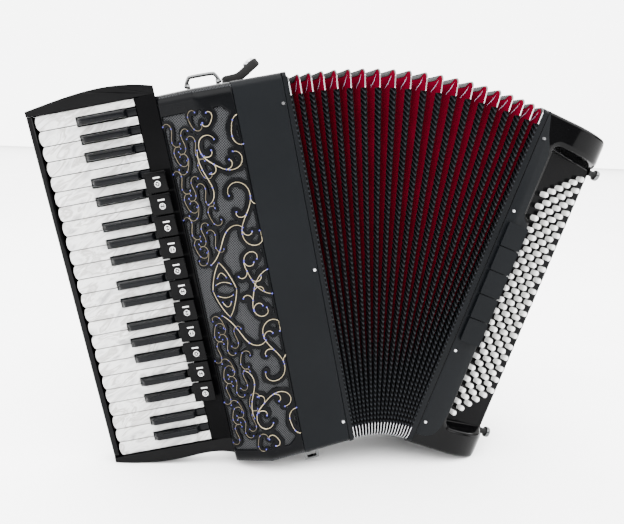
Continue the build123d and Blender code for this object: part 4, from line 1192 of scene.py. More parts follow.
def grille_skin():
    """The pierced skin: front layer with rounded window edges, back layer and the walls between them."""
    u_lines, v_lines = grille_lines()
    u, v = np.meshgrid(u_lines, v_lines, indexing="ij")
    field = solid_field(u, v)
    columns = len(v_lines)
    keys, places, values = {}, [], []

    def vertex(key, pu, pv, value):
        if key not in keys:
            keys[key] = len(places)
            places.append((pu, pv))
            values.append(value)
        return keys[key]

    faces, rim = [], []
    for i in range(len(u_lines) - 1):
        for j in range(columns - 1):
            ring = ((i, j), (i + 1, j), (i + 1, j + 1), (i, j + 1))
            levels = [field[a] for a in ring]
            if max(levels) <= 0:
                continue
            face, crossings = [], []
            for k in range(4):
                a, b = ring[k], ring[(k + 1) % 4]
                fa, fb = levels[k], levels[(k + 1) % 4]
                if fa > 0:
                    face.append(vertex(a, u[a], v[a], fa))
                if (fa > 0) != (fb > 0):
                    share = min(0.98, max(0.02, fa / (fa - fb)))
                    key = (min(a, b), max(a, b))
                    spot = vertex(key, u[a] + (u[b] - u[a]) * share, v[a] + (v[b] - v[a]) * share, 0.0)
                    face.append(spot)
                    crossings.append((spot, fa > 0))
            if len(face) >= 3:
                faces.append(face)
            if len(crossings) == 2:
                (p, leaving), (q, _) = crossings
                rim.append((p, q) if leaving else (q, p))
            elif len(crossings) == 4:
                for (p, leaving), (q, _) in ((crossings[0], crossings[1]), (crossings[2], crossings[3])):
                    rim.append((p, q) if leaving else (q, p))
    places, values = np.array(places), np.array(values)
    inside = np.clip(values / GRILLE_EDGE, 0.0, 1.0)
    depth = GRILLE_EDGE * 0.75 * (1 - np.sqrt(np.clip(1 - (1 - inside) ** 2, 0.0, 1.0)))
    front = grille_points(places[:, 0], places[:, 1], -depth)
    back = grille_points(places[:, 0], places[:, 1], -GRILLE_SKIN)
    count = len(places)
    in_window = (places[:, 0] > PATTERN_LEFT - 2) & (places[:, 0] < PATTERN_RIGHT + 2)
    in_window &= np.abs(places[:, 1] - PATTERN_MIDDLE) < PATTERN_REACH + 2
    back_faces = [[n + count for n in face[::-1]] for face in faces if in_window[face].all()]
    walls = [[q, p, p + count, q + count] for p, q in rim]
    return np.concatenate([front, back]), faces + back_faces + walls


def wire_parts(curves, radius, lift):
    """Gold wires laid along curves on the grille, thinning toward their ends."""
    parts = []
    for curve in curves:
        spots = grille_points(curve[:, 0], curve[:, 1], lift)
        run = np.linspace(0.0, 1.0, len(curve))
        taper = np.clip(np.minimum(run, 1 - run) * 6.0, 0.0, 1.0) ** 0.5
        parts.append(tube(spots, radius * (0.45 + 0.55 * taper), 6))
    return parts


def ball_profile(radius, steps):
    """Profile of a ball for lathe, from one pole to the other."""
    angles = [math.pi * k / steps for k in range(steps + 1)]
    return [(math.sin(angle) * radius + 0.02, -math.cos(angle) * radius) for angle in angles]


GEM_MIDDLE_LENGTH = 45.0


def gem_parts(curves, radius, lift):
    """Small round gems at both ends of each curve and on the middle of the long ones."""
    parts = []
    profile = ball_profile(radius, 6)
    for curve in curves:
        chosen = [curve[0], curve[-1]]
        length = np.linalg.norm(np.diff(curve, axis=0), axis=1).sum()
        if length > GEM_MIDDLE_LENGTH:
            chosen += [curve[len(curve) // 3], curve[2 * len(curve) // 3]]
        for spot in chosen:
            centre = grille_points(spot[0], spot[1], lift)
            outward = grille_points(spot[0], spot[1], lift + 1) - centre
            parts.append(lathe(profile, centre, outward, 10))
    return parts


def make_grille():
    """Grille skin, gold wires and gems; the flank wires take a darker copy of the gold as painted shade."""
    vertices, faces = grille_skin()
    rough = bpy.data.meshes.new("rough")
    rough.from_pydata(vertices.tolist(), [], faces)
    bm = bmesh.new()
    bm.from_mesh(rough)
    bpy.data.meshes.remove(rough)
    bmesh.ops.remove_doubles(bm, verts=bm.verts, dist=0.01)
    bmesh.ops.dissolve_degenerate(bm, edges=bm.edges, dist=0.01)
    skin = finish_mesh(bm, "grille_scrollwork", TREBLE, [grille_enamel], sharp=42.0)
    settle(skin, "treble", "grille")
    bright = wire_parts(front_curves, 0.55, 0.2) + wire_parts(ornament_curves, 0.5, 0.2)
    # The flank wires are darker gold: painted shade.
    dark = wire_parts(flank_curves, 0.42, 0.1)
    gems = gem_parts(front_curves, 1.1, 0.6) + gem_parts(flank_curves, 0.85, 0.45)
    gems += gem_parts(ornament_curves, 0.9, 0.5)
    for name, material, parts in (
        ("grille_wires", gold, bright), ("grille_flank_wires", flank_gold_painted_shade, dark), ("grille_gems", gem, gems),
    ):
        settle(make_object(name, *gather(parts), TREBLE, [material], sharp=60.0), "treble")


make_grille()


# ---------------------------------------------------------------- rounded shells of the two bodies
def edge_round(distance, radius):
    """How far a surface falls back at a distance from an edge rounded to a radius."""
    inside = np.clip(np.asarray(distance, float), 0.0, radius)
    return radius - np.sqrt(np.maximum(radius**2 - (radius - inside) ** 2, 0.0))


def smooth_step(value):
    """0 to 1 with level ends."""
    t = np.clip(value, 0.0, 1.0)
    return t * t * (3 - 2 * t)


def panel_outline(low, high, radius, support=1.2, steps=8):
    """Rounded rectangle (y, z) with support points beside every corner arc, and its outward directions."""
    points, outward = [], []
    centres = [(high[0] - radius, low[1] + radius, -90), (high[0] - radius, high[1] - radius, 0),
               (low[0] + radius, high[1] - radius, 90), (low[0] + radius, low[1] + radius, 180)]
    for cy, cz, angle in centres:
        first = math.radians(angle)
        last = math.radians(angle + 90)
        before = np.array([math.sin(first), -math.cos(first)]) * support
        after = np.array([-math.sin(last), math.cos(last)]) * support
        for k in range(steps + 1):
            a = math.radians(angle + 90 * k / steps)
            spot = np.array([cy + radius * math.cos(a), cz + radius * math.sin(a)])
            direction = (math.cos(a), math.sin(a))
            if k == 0:
                points.append(spot + before)
                outward.append(direction)
            points.append(spot)
            outward.append(direction)
            if k == steps:
                points.append(spot + after)
                outward.append(direction)
    return np.array(points), np.array(outward)


def rounded_slab(x_range, low, high, radius, edge, support=1.2):
    """A slab across x whose (y, z) outline is a rounded rectangle and whose two end edges are rounded."""
    outline, outward = panel_outline(low, high, radius)
    left, right = x_range
    bend = [(edge * (1 - math.cos(a)), edge * (1 - math.sin(a))) for a in np.linspace(0, math.pi / 2, 5)]
    near_end = [(0.0, edge + support)] + bend + [(edge + support, 0.0)]
    stations = [(left + along, inset) for along, inset in near_end]
    stations += [(right - along, inset) for along, inset in near_end[::-1]]
    rings = []
    for x, inset in stations:
        ring = outline - outward * inset
        rings.append(np.column_stack([np.full(len(ring), x), ring]))
    return np.concatenate(rings), skin_faces(len(rings), len(outline), inward=True)


FLANGE_GROOVE = 0.15


def treble_shell():
    """The satin treble case: a rounded front panel with a thin groove beside the bellows flange."""
    low, high = node_box("treble_case", TREBLE)
    slab = rounded_slab((low[0], high[0] - FLANGE_GROOVE), (low[1], low[2]), (high[1], high[2]), 9.0, 1.3)
    piece = make_object("treble_case_shell", *slab, TREBLE, [satin], sharp=40.0)
    settle(piece, "treble", "treble_case")


(BASS_LEFT, _, BASS_LOW), (BASS_RIGHT, _, BASS_HIGH) = node_box("bass_case", BASS)
BASS_CORNER = 28.0
BOARD_SLOPE = math.tan(math.radians(22.0))
BOARD_START = (61.9, 26.5)
PANEL_BED = 3.2
PANEL_COVER_X = 44.0
PANEL_COVER_Z = (37.0, 318.0)
RECESS_LOW, RECESS_HIGH = 12.0, 442.0
RECESS_EDGE, RECESS_WIDE_EDGE = 47.0, 35.3
RECESS_WIDE = (331.0, 437.0)
RECESS_CORNER = 13.0
RECESS_RAMP = 6.0
BASS_FRONT = [
    (9, 0.5), (47, 0.5), (66, 0.9), (86, 4.2), (104, 10.8), (118, 20), (129, 34), (135, 48), (138, 62),
]
BASS_SIDE = (
    (66.0, 0.0), (188.0, 0.0), (190.5, 0.5), (193.0, 1.8), (194.8, 3.6), (195.7, 5.4), (BODY_DEPTH, 7.5),
)
bass_front_line = smooth_line(BASS_FRONT, 1.0)


def bass_right_edge(z):
    """Right end of the bass body at a height, rounded at its two corners."""
    z = np.asarray(z, float)
    near = np.minimum(z - BASS_LOW, BASS_HIGH - z)
    return BASS_RIGHT - edge_round(near, BASS_CORNER)


def recess_depth(x, z):
    """Distance into the recess round the buttons, negative outside it."""
    edge = RECESS_EDGE - (RECESS_EDGE - RECESS_WIDE_EDGE) * smooth_step((z - RECESS_WIDE[0] + 7) / 14)
    a = x - edge
    b = np.minimum(RECESS_HIGH - z, z - RECESS_LOW)
    rounded = RECESS_CORNER - np.hypot(np.maximum(RECESS_CORNER - a, 0), np.maximum(RECESS_CORNER - b, 0))
    return np.where((a < RECESS_CORNER) & (b < RECESS_CORNER), rounded, np.minimum(a, b))


def bass_depth(x, z):
    """Depth of the bass body's front: rounded lobes at both ends, the slanted recess between them."""
    lobe = np.interp(x, bass_front_line[:, 0], bass_front_line[:, 1])
    board = BOARD_START[1] + (x - BOARD_START[0]) * BOARD_SLOPE + 0.25
    into = recess_depth(x, z)
    across = np.minimum(x - BASS_LEFT - 3.0, PANEL_COVER_X - x)
    along = np.minimum(z - PANEL_COVER_Z[0], PANEL_COVER_Z[1] - z)
    lobe = lobe + PANEL_BED * smooth_step(np.minimum(across, along) / 2.0)
    lip = 1.6 * smooth_step((into + 4.0) / 4.0) * (1 - smooth_step(into / 2.0))
    share = smooth_step(into / RECESS_RAMP)
    depth = lobe * (1 - share) + np.maximum(board, lobe) * share + lip
    rim = np.minimum(np.minimum(z - BASS_LOW, BASS_HIGH - z), bass_right_edge(z) - x)
    return depth + edge_round(rim, 5.0) * (1 - share) + edge_round(x - BASS_LEFT, 0.8)


def bass_lines():
    """Grid lines over the front of the bass body: shares of its width and heights."""
    x = np.concatenate([
        [0, 0.3, 0.8, 1.6], np.arange(4, 24, 2.5), np.arange(24, 62, 0.9), np.arange(62, 124, 2.2),
        [124.2, 125.4, 126.4, 127.2, 127.9, 128.4, 128.8, 129.0],
    ])
    lip = [0, 0.25, 0.6, 1.0, 1.6, 2.3, 3.2, 4.2]
    ends = np.concatenate([lip, np.arange(5.4, 30, 1.3), np.arange(30, 58, 0.9)])
    middle = np.concatenate([np.arange(58, 340, 4.0), np.arange(340, 366, 1.6), np.arange(366, 444, 4.0)])
    z = np.concatenate([ends, middle, BASS_HIGH - BASS_LOW - ends[::-1]]) + BASS_LOW
    return x / x[-1], np.unique(np.round(z, 4))


def bass_shell():
    """The lacquered bass case with its sculpted front, side and back."""
    shares, heights = bass_lines()
    rows = []
    for z in heights:
        right = float(bass_right_edge(z))
        x = BASS_LEFT + shares * (right - BASS_LEFT)
        rows.append(np.column_stack([x, bass_depth(x, np.full_like(x, z)), np.full_like(x, z)]))
    width = len(shares)
    front = np.concatenate(rows)
    faces = grid_faces(len(heights), width).tolist()
    count = len(heights)
    border = list(range(width)) + [r * width + width - 1 for r in range(1, count)]
    border += [(count - 1) * width + c for c in range(width - 2, -1, -1)]
    border += [r * width for r in range(count - 2, 0, -1)]
    rim = front[border]
    middle = np.array([(BASS_LEFT + BASS_RIGHT) / 2, (BASS_LOW + BASS_HIGH) / 2])
    reach = np.array([BASS_RIGHT - BASS_LEFT, BASS_HIGH - BASS_LOW]) / 2
    rings = [border]
    vertices = [front]
    total = len(front)
    for y, inset in BASS_SIDE:
        x, z = (middle + (rim[:, [0, 2]] - middle) * (1 - inset / reach)).T
        depth = np.maximum(rim[:, 1] + 0.1, y) if y == BASS_SIDE[0][0] else np.full(len(rim), y)
        vertices.append(np.column_stack([x, depth, z]))
        rings.append(list(range(total, total + len(rim))))
        total += len(rim)
    for ring_a, ring_b in zip(rings, rings[1:]):
        for i in range(len(border)):
            j = (i + 1) % len(border)
            faces.append([ring_a[i], ring_b[i], ring_b[j], ring_a[j]])
    faces.append(rings[-1][::-1])
    piece = make_object("bass_case_shell", np.concatenate(vertices), faces, BASS, [lacquer], sharp=62.0)
    settle(piece, "bass", "bass_case")


PANEL_X = 10.2
PANEL_Z = (-8.5, 477.2)
PANEL_THICKNESS = 2.6
PANEL_TOP = [
    (11.5, 477.2), (15.0, 468.0), (18.5, 458.0), (22.0, 448.0), (27.0, 439.0), (32.0, 430.0), (34.2, 420.0),
]
PANEL_STEP = [(34.2, 337.0), (36.5, 330.0), (42.5, 325.0), (45.6, 321.0)]
PANEL_FOOT = [
    (45.6, 34.0), (43.5, 14.0), (41.0, 6.0), (36.0, -2.0), (27.0, -7.0), (16.0, -8.5), (PANEL_X, -8.5),
]


def bass_panel():
    """The satin front panel of the bass, curved in toward the lobes at both ends."""
    outline = [(PANEL_X, z) for z in PANEL_Z] + PANEL_TOP + PANEL_STEP
    outline += [tuple(point) for point in smooth_line(PANEL_FOOT, 3.0)[:-1]]
    bm = bmesh.new()
    add_slab(bm, outline, 0.02, PANEL_THICKNESS, bevel=0.5, segments=2, limit=60.0)
    piece = finish_mesh(bm, "bass_panel", BASS, [satin], sharp=30.0)
    settle(piece, "bass", "bass_front_panel")


FOOT_PLACES = [(y, z) for y in (60.0, 160.0) for z in (12.0, 436.0)]
FOOT_STEM = [(5.6, -0.5), (5.4, 0.8), (4.5, 1.6), (4.2, 5.0), (4.5, 9.6), (5.6, 11.2), (5.6, 11.6)]
FOOT_CAP = [
    (6.6, 10.9), (7.6, 11.2), (8.0, 12.0), (8.0, 15.4), (7.7, 16.3), (7.0, 16.8), (5.6, 17.0), (5.2, 16.6),
    (2.0, 16.5), (0.4, 16.5),
]


def bass_feet_pieces():
    """Rubber stems with bright capped discs."""
    for name, profile, material, node in (
        ("bass_foot_stems", FOOT_STEM, rubber, None), ("bass_foot_caps", FOOT_CAP, dark_chrome, "bass_feet"),
    ):
        feet = [lathe(profile, (BASS_RIGHT, y, z), (1, 0, 0), 32) for y, z in FOOT_PLACES]
        piece = make_object(name, *gather(feet), BASS, [material], sharp=35.0)
        settle(piece, "bass", node)


treble_shell()
bass_shell()
bass_panel()
bass_feet_pieces()

# ---------------------------------------------------------------- treble register tabs
TAB_LEFT = (-201.0, 34.0)
TAB_TURN = math.atan(-0.367)
TAB_LENGTH = 29.29
TAB_HEIGHT = 27.15
TAB_THICKNESS = 4.0
TAB_PITCH = 28.75
TAB_MIDDLE_Z = 235.2
TAB_COUNT = 11
ENGAGED_TAB = 5
TAB_SINK = 2.5
RING_ALONG = 16.5
RING_Z = -2.6
RING_RADIUS = 4.0
RING_SIDES = 28
TAB_DOTS = (
    ((0.0, 0.0),), ((0.0, 2.1), (0.0, -2.1)), ((-1.5, 0.0), (1.5, 0.0)),
    ((0.0, 2.1), (0.0, 0.0), (0.0, -2.1)),
)


def tab_place(sink):
    """Matrix from tab millimetres (x along the tab, y inward, z up) to treble millimetres."""
    along = Vector((math.cos(TAB_TURN), math.sin(TAB_TURN), 0))
    inward = Vector((-math.sin(TAB_TURN), math.cos(TAB_TURN), 0))
    matrix = Matrix((along, inward, Vector((0, 0, 1)))).transposed().to_4x4()
    matrix.translation = Vector((TAB_LEFT[0], TAB_LEFT[1], 0)) + inward * sink
    return matrix


def tab_symbol(index):
    """Generic register sign: a ring with a few dots."""
    centre = np.array([RING_ALONG, -0.02, RING_Z])
    inner = RING_RADIUS - 0.8
    section_points = [(inner, 0.0), (inner, 0.14), (RING_RADIUS, 0.14), (RING_RADIUS, 0.0)]
    angle = np.linspace(0, 2 * math.pi, RING_SIDES, endpoint=False)
    ring = [
        np.column_stack([r * np.cos(angle), np.full(RING_SIDES, -height), r * np.sin(angle)]) + centre
        for r, height in section_points
    ]
    parts = [(np.concatenate(ring), grid_faces(4, RING_SIDES, close_rows=True, close_columns=True).tolist())]
    for dx, dz in TAB_DOTS[index % len(TAB_DOTS)]:
        parts.append(lathe([(0.8, 0.0), (0.75, 0.12), (0.02, 0.14)], centre + [dx, 0, dz], (0, -1, 0), 10))
    return parts


def register_tab(index, sink):
    """One rounded glossy tab with its white marks: a bar, a ring, and two lines across the ring."""
    centre_z = TAB_MIDDLE_Z + TAB_PITCH * (TAB_COUNT - 1) / 2 - TAB_PITCH * index
    bm = bmesh.new()
    corner = (TAB_LENGTH, TAB_THICKNESS, TAB_HEIGHT / 2)
    add_box(bm, (0.0, 0.0, -TAB_HEIGHT / 2), corner, bevel=1.5, segments=4)
    add_box(bm, (RING_ALONG - 4.4, -0.14, 4.8), (RING_ALONG + 4.4, 0.05, 6.5), slot=1)
    for z in (RING_Z - 1.15, RING_Z + 1.15):
        add_box(bm, (RING_ALONG - 3.6, -0.12, z - 0.16), (RING_ALONG + 3.6, 0.05, z + 0.16), slot=1)
    mesh = bpy.data.meshes.new("tab")
    bmesh.ops.recalc_face_normals(bm, faces=bm.faces)
    bm.to_mesh(mesh)
    bm.free()
    body = (np.array([v.co for v in mesh.vertices]), [list(p.vertices) for p in mesh.polygons])
    slots = [p.material_index for p in mesh.polygons]
    bpy.data.meshes.remove(mesh)
    marks = tab_symbol(index)
    slots += [1] * sum(len(faces) for _, faces in marks)
    vertices, faces = gather([body] + marks)
    return to_row(vertices, tab_place(sink)) + [0, 0, centre_z], faces, slots


def register_tabs():
    """The raised tabs as one piece and the engaged one as another."""
    groups = {False: [], True: []}
    for index in range(TAB_COUNT):
        engaged = index == ENGAGED_TAB
        groups[engaged].append(register_tab(index, TAB_SINK if engaged else 0.0))
    for engaged, name, node, body in (
        (False, "register_tabs", "treble_registers", "registers_raised"),
        (True, "register_tab_engaged", "treble_register_engaged", "register_engaged"),
    ):
        tabs = gather([(vertices, faces) for vertices, faces, _ in groups[engaged]])
        slots = [slot for _, _, tab_slots in groups[engaged] for slot in tab_slots]
        piece = make_object(name, *tabs, TREBLE, [tab_gloss, white_ink], slots, sharp=40.0)
        settle(piece, body, node)


register_tabs()


# ---------------------------------------------------------------- straps
STITCH_PITCH = 3.4
STITCH_LENGTH = 2.2
SEAM_SHARES = (0.78, 0.86)


def travel_along(centre):
    """Distance along a line at each of its points."""
    return np.concatenate([[0.0], np.cumsum(np.linalg.norm(np.diff(centre, axis=0), axis=1))])


def band(centre, low_y, high_y, thickness, crown=0.0, ends=3.0):
    """A leather band swept along (x, z) points: rounded edges, crowned middle and rounded ends."""
    centre = np.asarray(centre, float)
    tangent = np.gradient(centre, axis=0)
    tangent /= np.linalg.norm(tangent, axis=1)[:, None]
    normal = np.stack([tangent[:, 1], -tangent[:, 0]], 1)
    run = travel_along(centre)
    near_end = np.clip(np.minimum(run, run[-1] - run) / ends, 0.0, 1.0)
    narrow = 0.72 + 0.28 * np.sqrt(1 - (1 - near_end) ** 2)
    half = (high_y - low_y) / 2
    middle = (high_y + low_y) / 2
    turns = [(-1.0, 0.0)] + [(-1 + 0.06 * (1 - math.cos(a)), 0.5 * math.sin(a)) for a in (0.5, 1.0, 1.57)]
    face = [(share, 0.5) for share in (-0.88, -0.80, -0.5, 0.0, 0.5, 0.80, 0.88)]
    upper = turns + face + [(-s, h) for s, h in turns[::-1]]
    section_points = upper + [(s, -h) for s, h in upper[::-1][1:-1]]
    rows = []
    for (x, z), (nx, nz), scale in zip(centre, normal, narrow):
        row = []
        for s, h in section_points:
            stitched = 0.35 if SEAM_SHARES[0] < abs(s) < SEAM_SHARES[1] else 0.0
            swell = crown * (1 - (s / 0.8) ** 2) if abs(s) < 0.8 else 0.0
            height = (h * (thickness + 2 * (swell if h > 0 else 0.0)) - math.copysign(stitched, h)) * scale
            row.append((x + nx * height, middle + s * half * scale, z + nz * height))
        rows.append(row)
    width = len(section_points)
    return np.array(rows).reshape(-1, 3), skin_faces(len(rows), width, inward=True), normal


def stitches(centre, normal, y, lift):
    """A row of thread stitches along a band's edge."""
    run = travel_along(centre)
    parts = []
    for start in np.arange(4.0, run[-1] - 5.0, STITCH_PITCH):
        spots = []
        for share, rise in ((0.0, -0.25), (0.25, 0.1), (0.75, 0.1), (1.0, -0.25)):
            at = start + STITCH_LENGTH * share
            x, z, nx, nz = (np.interp(at, run, values) for values in (*centre.T, *normal.T))
            spots.append((x + nx * (lift + rise), y, z + nz * (lift + rise)))
        parts.append(tube(spots, 0.32, 6))
    return parts


def hand_strap():
    """The padded leather band on the bass end, with its stitching and end plates."""
    low, high = node_box("bass_strap", BASS)
    middle = (low[2] + high[2]) / 2
    crown_x = high[0] - 2.6
    upper = [
        (BASS_RIGHT + 2.4, high[2] - 2), (BASS_RIGHT + 2.4, high[2] - 22), (BASS_RIGHT + 9.5, high[2] - 48),
        (crown_x - 3.4, high[2] - 88),
    ]
    lower = [(x, 2 * middle - z) for x, z in upper[::-1]]
    line = smooth_line(upper + [(crown_x, middle)] + lower, 5.0)
    vertices, faces, normal = band(line, low[1], high[1], 3.2, crown=1.3, ends=10.0)
    if vertices[:, 0].max() < crown_x:
        raise RuntimeError("the hand strap bows inward")
    strap = make_object("hand_strap", vertices, faces, BASS, [leather], sharp=50.0)
    settle(strap, "bass", "bass_strap")
    seams = stitches(line, normal, low[1] + 4.9, 1.45) + stitches(line, normal, high[1] - 4.9, 1.45)
    seam_piece = make_object("hand_strap_stitches", *gather(seams), BASS, [thread], sharp=60.0)
    settle(seam_piece, "bass")
    ends = (low[2] + 9, high[2] - 9)
    bm = bmesh.new()
    for z in ends:
        plate_low, plate_high = (BASS_RIGHT + 4.2, low[1] + 5, z - 6), (BASS_RIGHT + 5.4, high[1] - 5, z + 6)
        add_box(bm, plate_low, plate_high, bevel=0.5, segments=2)
    settle(finish_mesh(bm, "hand_strap_plates", BASS, [chrome]), "bass")
    head = [(3.4, 0.0), (3.2, 0.9), (2.2, 1.6), (0.1, 1.9)]
    places = [(BASS_RIGHT + 5.3, y, z) for z in ends for y in (low[1] + 14, high[1] - 14)]
    screws = gather([lathe(head, place, (1, 0, 0), 18) for place in places])
    settle(make_object("hand_strap_screws", *screws, BASS, [steel], sharp=40.0), "bass")


STUD = [(7.8, 5.1), (8.0, 6.1), (7.4, 7.5), (5.5, 8.6), (4.8, 7.8), (2.7, 8.8), (0.1, 9.3)]
CLOSING_THICKNESS = 11.0


def closing_strap():
    """The thick strap that ties the bellows shut, lying open and curled up, with its press stud."""
    low, high = node_box("bellows_strap", TREBLE)
    rise = [(low[0] + 1, 3.6), (-67, 3.7), (-59, 4.4), (-51, 7.6), (-43, 12.4), (-35, 17.2), (-28.6, 20.6)]
    line = smooth_line([(x, grille_high_z + above) for x, above in rise], 2.0)[::-1]
    vertices, faces, normal = band(line, low[1], high[1], CLOSING_THICKNESS, ends=6.0)
    normal = normal * (1.0 if normal[0][1] > 0 else -1.0)
    strap = make_object("bellows_strap_leather", vertices, faces, TREBLE, [leather], sharp=50.0)
    settle(strap, "treble", "bellows_strap")
    seams = stitches(line, normal, low[1] + 2.0, 4.05) + stitches(line, normal, high[1] - 2.0, 4.05)
    seam_piece = make_object("bellows_strap_stitches", *gather(seams), TREBLE, [thread], sharp=60.0)
    settle(seam_piece, "treble")
    centre = (line[4][0], (low[1] + high[1]) / 2, line[4][1])
    stud = lathe(STUD, centre, (normal[4][0], 0.0, normal[4][1]), 28)
    settle(make_object("bellows_strap_stud", *stud, TREBLE, [chrome], sharp=35.0), "treble")


hand_strap()
closing_strap()

# ---------------------------------------------------------------- the rest of the CAD nodes
for node_name, node_material, rounding in (
    ("treble_bellows_frame", frame_wood, 0.8), ("keyboard_bed", lacquer, 1.2),
    ("keyboard_cheek_top", lacquer, 3.0), ("keyboard_cheek_bottom", lacquer, 3.0),
    ("keyboard_wall", deep_black, 0.6), ("bass_bellows_frame", frame_wood, 0.8),
    ("bass_button_board", deep_black, 0.3), ("bass_registers", satin, 0.9),
    ("air_button", black_key_plastic, 0.0), ("strap_brackets", dark_chrome, 0.5),
    ("grille_mesh", mesh_weave, 0.0), ("key_axle", steel, 0.0),
    ("treble_bellows_pins", chrome, 0.0), ("bass_bellows_pins", chrome, 0.0),
):
    if rounding:
        soften(node_name, node_material, rounding)
    else:
        dress(node_name, node_material)


def loop_piece():
    """The shoulder strap loop: a stout wire bent to the CAD loop's outline, with a ball at each foot."""
    low, high = node_box("strap_loop", TREBLE)
    wire, inset, ball = 2.4, 5.0, 2.6
    y = (low[1] + high[1]) / 2
    foot_z, head_z = low[2] + wire * 0.75, high[2] - wire * 0.75
    left, right = low[0] + wire / 2, high[0] - wire / 2
    middle_z = (foot_z + head_z) / 2
    side = [(0.0, foot_z), (inset * 0.45, middle_z), (inset, head_z - 1.6), (inset * 1.8, head_z)]
    points = [(left + along, z) for along, z in side] + [(right - along, z) for along, z in side[::-1]]
    line = smooth_line(points, 0.8)
    parts = [tube(np.column_stack([line[:, 0], np.full(len(line), y), line[:, 1]]), wire, 14)]
    parts += [lathe(ball_profile(ball, 10), (x, y, foot_z + 0.4), (0, 0, 1), 16) for x in (left, right)]
    piece = make_object("strap_loop_wire", *gather(parts), TREBLE, [dark_chrome], sharp=60.0)
    settle(piece, "strap_loop", "strap_loop")


BUTTON_DOME = [
    (0.88, -7.4), (0.94, 0.1), (0.92, 1.1), (0.84, 2.0), (0.70, 2.6), (0.48, 3.05), (0.22, 3.25), (0.02, 3.3),
]
BUTTON_TILT = math.radians(22.0)


def bass_button_row(row_number):
    """The domed white buttons of one row, one over each plain CAD button."""
    points = local_points(f"bass_buttons_row_{row_number}", BASS)
    across = np.array([math.sin(BUTTON_TILT), -math.cos(BUTTON_TILT)])
    order = np.argsort(points[:, 2])
    breaks = np.flatnonzero(np.diff(points[order, 2]) > 2.0) + 1
    parts = []
    for group in np.split(points[order], breaks):
        radius = (group[:, 2].max() - group[:, 2].min()) / 2
        height = group[:, [0, 1]] @ across
        flat = group[height < height.min() + 0.5]
        centre = (flat.max(0) + flat.min(0)) / 2
        top = height.max() - centre[[0, 1]] @ across
        profile = [(share * radius, top + along) for share, along in BUTTON_DOME]
        parts.append(lathe(profile, centre, (across[0], across[1], 0.0), 20))
    piece = make_object(f"bass_buttons_{row_number}", *gather(parts), BASS, [white_plastic], sharp=50.0)
    settle(piece, f"button_row_{row_number}", f"bass_buttons_row_{row_number}")


SCREW_RADIUS = 3.2
SCREW_HEAD = [(1.0, -0.4), (1.0, 0.5), (0.86, 1.05), (0.5, 1.4), (0.34, 1.4), (0.28, 0.8), (0.05 / 3.2, 0.75)]
SCREW_INSET = 9.0
AIR_SLOT = (18.0, 3.2)
AIR_SLOT_PITCH = 26.0


def back_plate(name, low, high, y, place, body, columns, rows):
    """A thin cover plate on the back of a body, its rows of air slots and its raised screw heads."""
    bm = bmesh.new()
    outline, _ = panel_outline(low, high, 14.0)
    add_slab(bm, outline, y - 0.3, y + 1.4, bevel=0.5, segments=2, limit=60.0)
    middle_x, middle_z = (low[0] + high[0]) / 2, (low[1] + high[1]) / 2
    half_x, half_z = AIR_SLOT[0] / 2, AIR_SLOT[1] / 2
    for row in range(rows):
        z = low[1] + (high[1] - low[1]) * (row + 1) / (rows + 1)
        for column in range(columns):
            x = middle_x + (column - (columns - 1) / 2) * AIR_SLOT_PITCH
            ends = (x - half_x, z - half_z), (x + half_x, z + half_z)
            opening, _ = panel_outline(*ends, 1.5, support=0.02, steps=4)
            add_slab(bm, opening, y + 1.2, y + 1.9, slot=1)
    settle(finish_mesh(bm, f"{name}_plate", place, [satin, rubber], sharp=30.0), body)
    profile = [(share * SCREW_RADIUS, along) for share, along in SCREW_HEAD]
    screws = [
        lathe(profile, (x, y + 1.2, z), (0, 1, 0), 20)
        for x in (low[0] + SCREW_INSET, high[0] - SCREW_INSET)
        for z in (low[1] + SCREW_INSET, middle_z, high[1] - SCREW_INSET)
    ]
    settle(make_object(f"{name}_screws", *gather(screws), place, [steel], sharp=40.0), body)


def back_details():
    """Cover plates and screws on the backs of both bodies."""
    bass_low, bass_high = (BASS_LEFT + 14, BASS_LOW + 60), (BASS_RIGHT - 14, BASS_HIGH - 60)
    back_plate("bass_back", bass_low, bass_high, BODY_DEPTH, BASS, "bass", 3, 9)
    low, high = node_box("treble_case", TREBLE)
    plate_low, plate_high = (low[0] + 10, low[2] + 50), (high[0] - 8, high[2] - 50)
    back_plate("treble_back", plate_low, plate_high, high[1], TREBLE, "treble", 1, 0)


back_details()
loop_piece()
for row_number in range(1, 7):
    bass_button_row(row_number)

# ---------------------------------------------------------------- floor, lights and camera
FLOOR_HALF = 30.0
FLOOR_Z = -0.0005
BACKDROP_STRENGTH = 7.0
AMBIENT_STRENGTH = 0.8
SKY_SIZE = 60.0
SKY_HEIGHT = 10.0
SKY_RADIANCE = 7.4
CAMERA_PLACE = (-0.2552, -1.0038, 0.4444)
CAMERA_YAW = math.radians(13.06)
CAMERA_PITCH = math.radians(9.08)
CAMERA_ROLL = math.radians(2.37)
CAMERA_LENS = 41.444


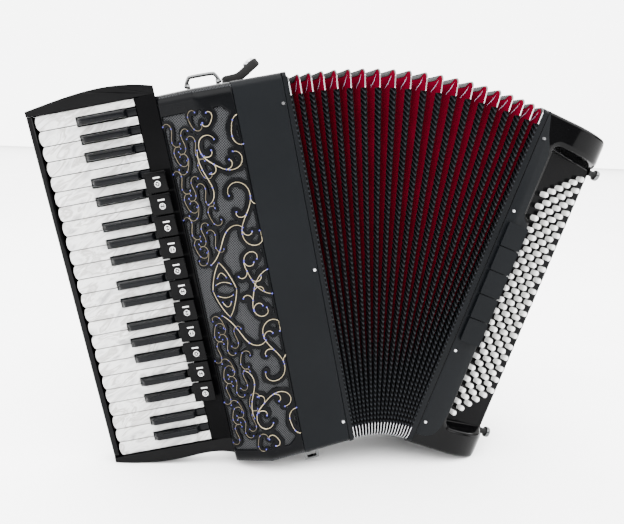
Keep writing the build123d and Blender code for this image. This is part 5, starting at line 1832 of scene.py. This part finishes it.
def make_stage():
    """Pale floor that runs far behind the instrument."""
    floor_material, tree, shader = start_material("floor", Roughness=0.6)
    drift = noise(tree, coordinates(tree), 1.5, 3.0)
    colour = ramp(tree, drift, [(0.3, (0.86, 0.86, 0.86)), (0.7, (0.90, 0.90, 0.90))])
    node_link(tree, colour, shader.inputs["Base Color"])
    corners = [(x * FLOOR_HALF, y * FLOOR_HALF, FLOOR_Z) for x, y in ((-1, -1), (1, -1), (1, 1), (-1, 1))]
    make_object("floor", corners, [(0, 1, 2, 3)], None, [floor_material])
    world = bpy.data.worlds.new("studio")
    world.use_nodes = True
    tree = world.node_tree
    backdrop = tree.nodes["Background"]
    backdrop.inputs["Color"].default_value = (1.0, 1.0, 1.0, 1.0)
    backdrop.inputs["Strength"].default_value = BACKDROP_STRENGTH
    ambient = tree.nodes.new("ShaderNodeBackground")
    ambient.inputs["Color"].default_value = (1.0, 0.99, 0.98, 1.0)
    ambient.inputs["Strength"].default_value = AMBIENT_STRENGTH
    rays = tree.nodes.new("ShaderNodeLightPath")
    mix = tree.nodes.new("ShaderNodeMixShader")
    node_link(tree, rays.outputs["Is Camera Ray"], mix.inputs["Fac"])
    node_link(tree, ambient.outputs["Background"], mix.inputs[1])
    node_link(tree, backdrop.outputs["Background"], mix.inputs[2])
    node_link(tree, mix.outputs["Shader"], tree.nodes["World Output"].inputs["Surface"])
    bpy.context.scene.world = world


def area_light(name, place, target, size, power):
    """A soft rectangular light that faces a point."""
    data = bpy.data.lights.new(name, "AREA")
    data.shape = "RECTANGLE"
    data.size, data.size_y = size
    data.energy = power
    lamp = bpy.data.objects.new(name, data)
    lamp.location = place
    lamp.rotation_mode = "QUATERNION"
    lamp.rotation_quaternion = (Vector(target) - Vector(place)).to_track_quat("-Z", "Y")
    bpy.context.scene.collection.objects.link(lamp)


def make_camera():
    """The camera at the viewing angle of the photo."""
    data = bpy.data.cameras.new("camera")
    data.lens = CAMERA_LENS
    data.sensor_width = 36.0
    data.sensor_fit = "HORIZONTAL"
    data.clip_start = 0.05
    data.clip_end = 100.0
    camera = bpy.data.objects.new("camera", data)
    turn = Matrix.Rotation(-CAMERA_YAW, 4, "Z") @ Matrix.Rotation(math.pi / 2 - CAMERA_PITCH, 4, "X")
    camera.matrix_world = Matrix.Translation(CAMERA_PLACE) @ turn @ Matrix.Rotation(CAMERA_ROLL, 4, "Z")
    bpy.context.scene.collection.objects.link(camera)
    bpy.context.scene.camera = camera


make_stage()
sky_power = SKY_RADIANCE * math.pi * SKY_SIZE**2
area_light("sky_light", (0, 0, SKY_HEIGHT), (0, 0, 0), (SKY_SIZE, SKY_SIZE), sky_power)
area_light("key_light", (-0.7, -1.7, 2.3), (0, 0, 0.25), (2.6, 1.8), 130)
area_light("left_light", (-2.4, -0.9, 1.1), (0, 0, 0.3), (1.4, 1.8), 40)
area_light("right_light", (2.2, -1.2, 1.3), (0, 0, 0.3), (1.2, 1.8), 40)
area_light("back_light", (0.3, 2.4, 2.6), (0, 0, 0.0), (3.4, 2.0), 60)
make_camera()
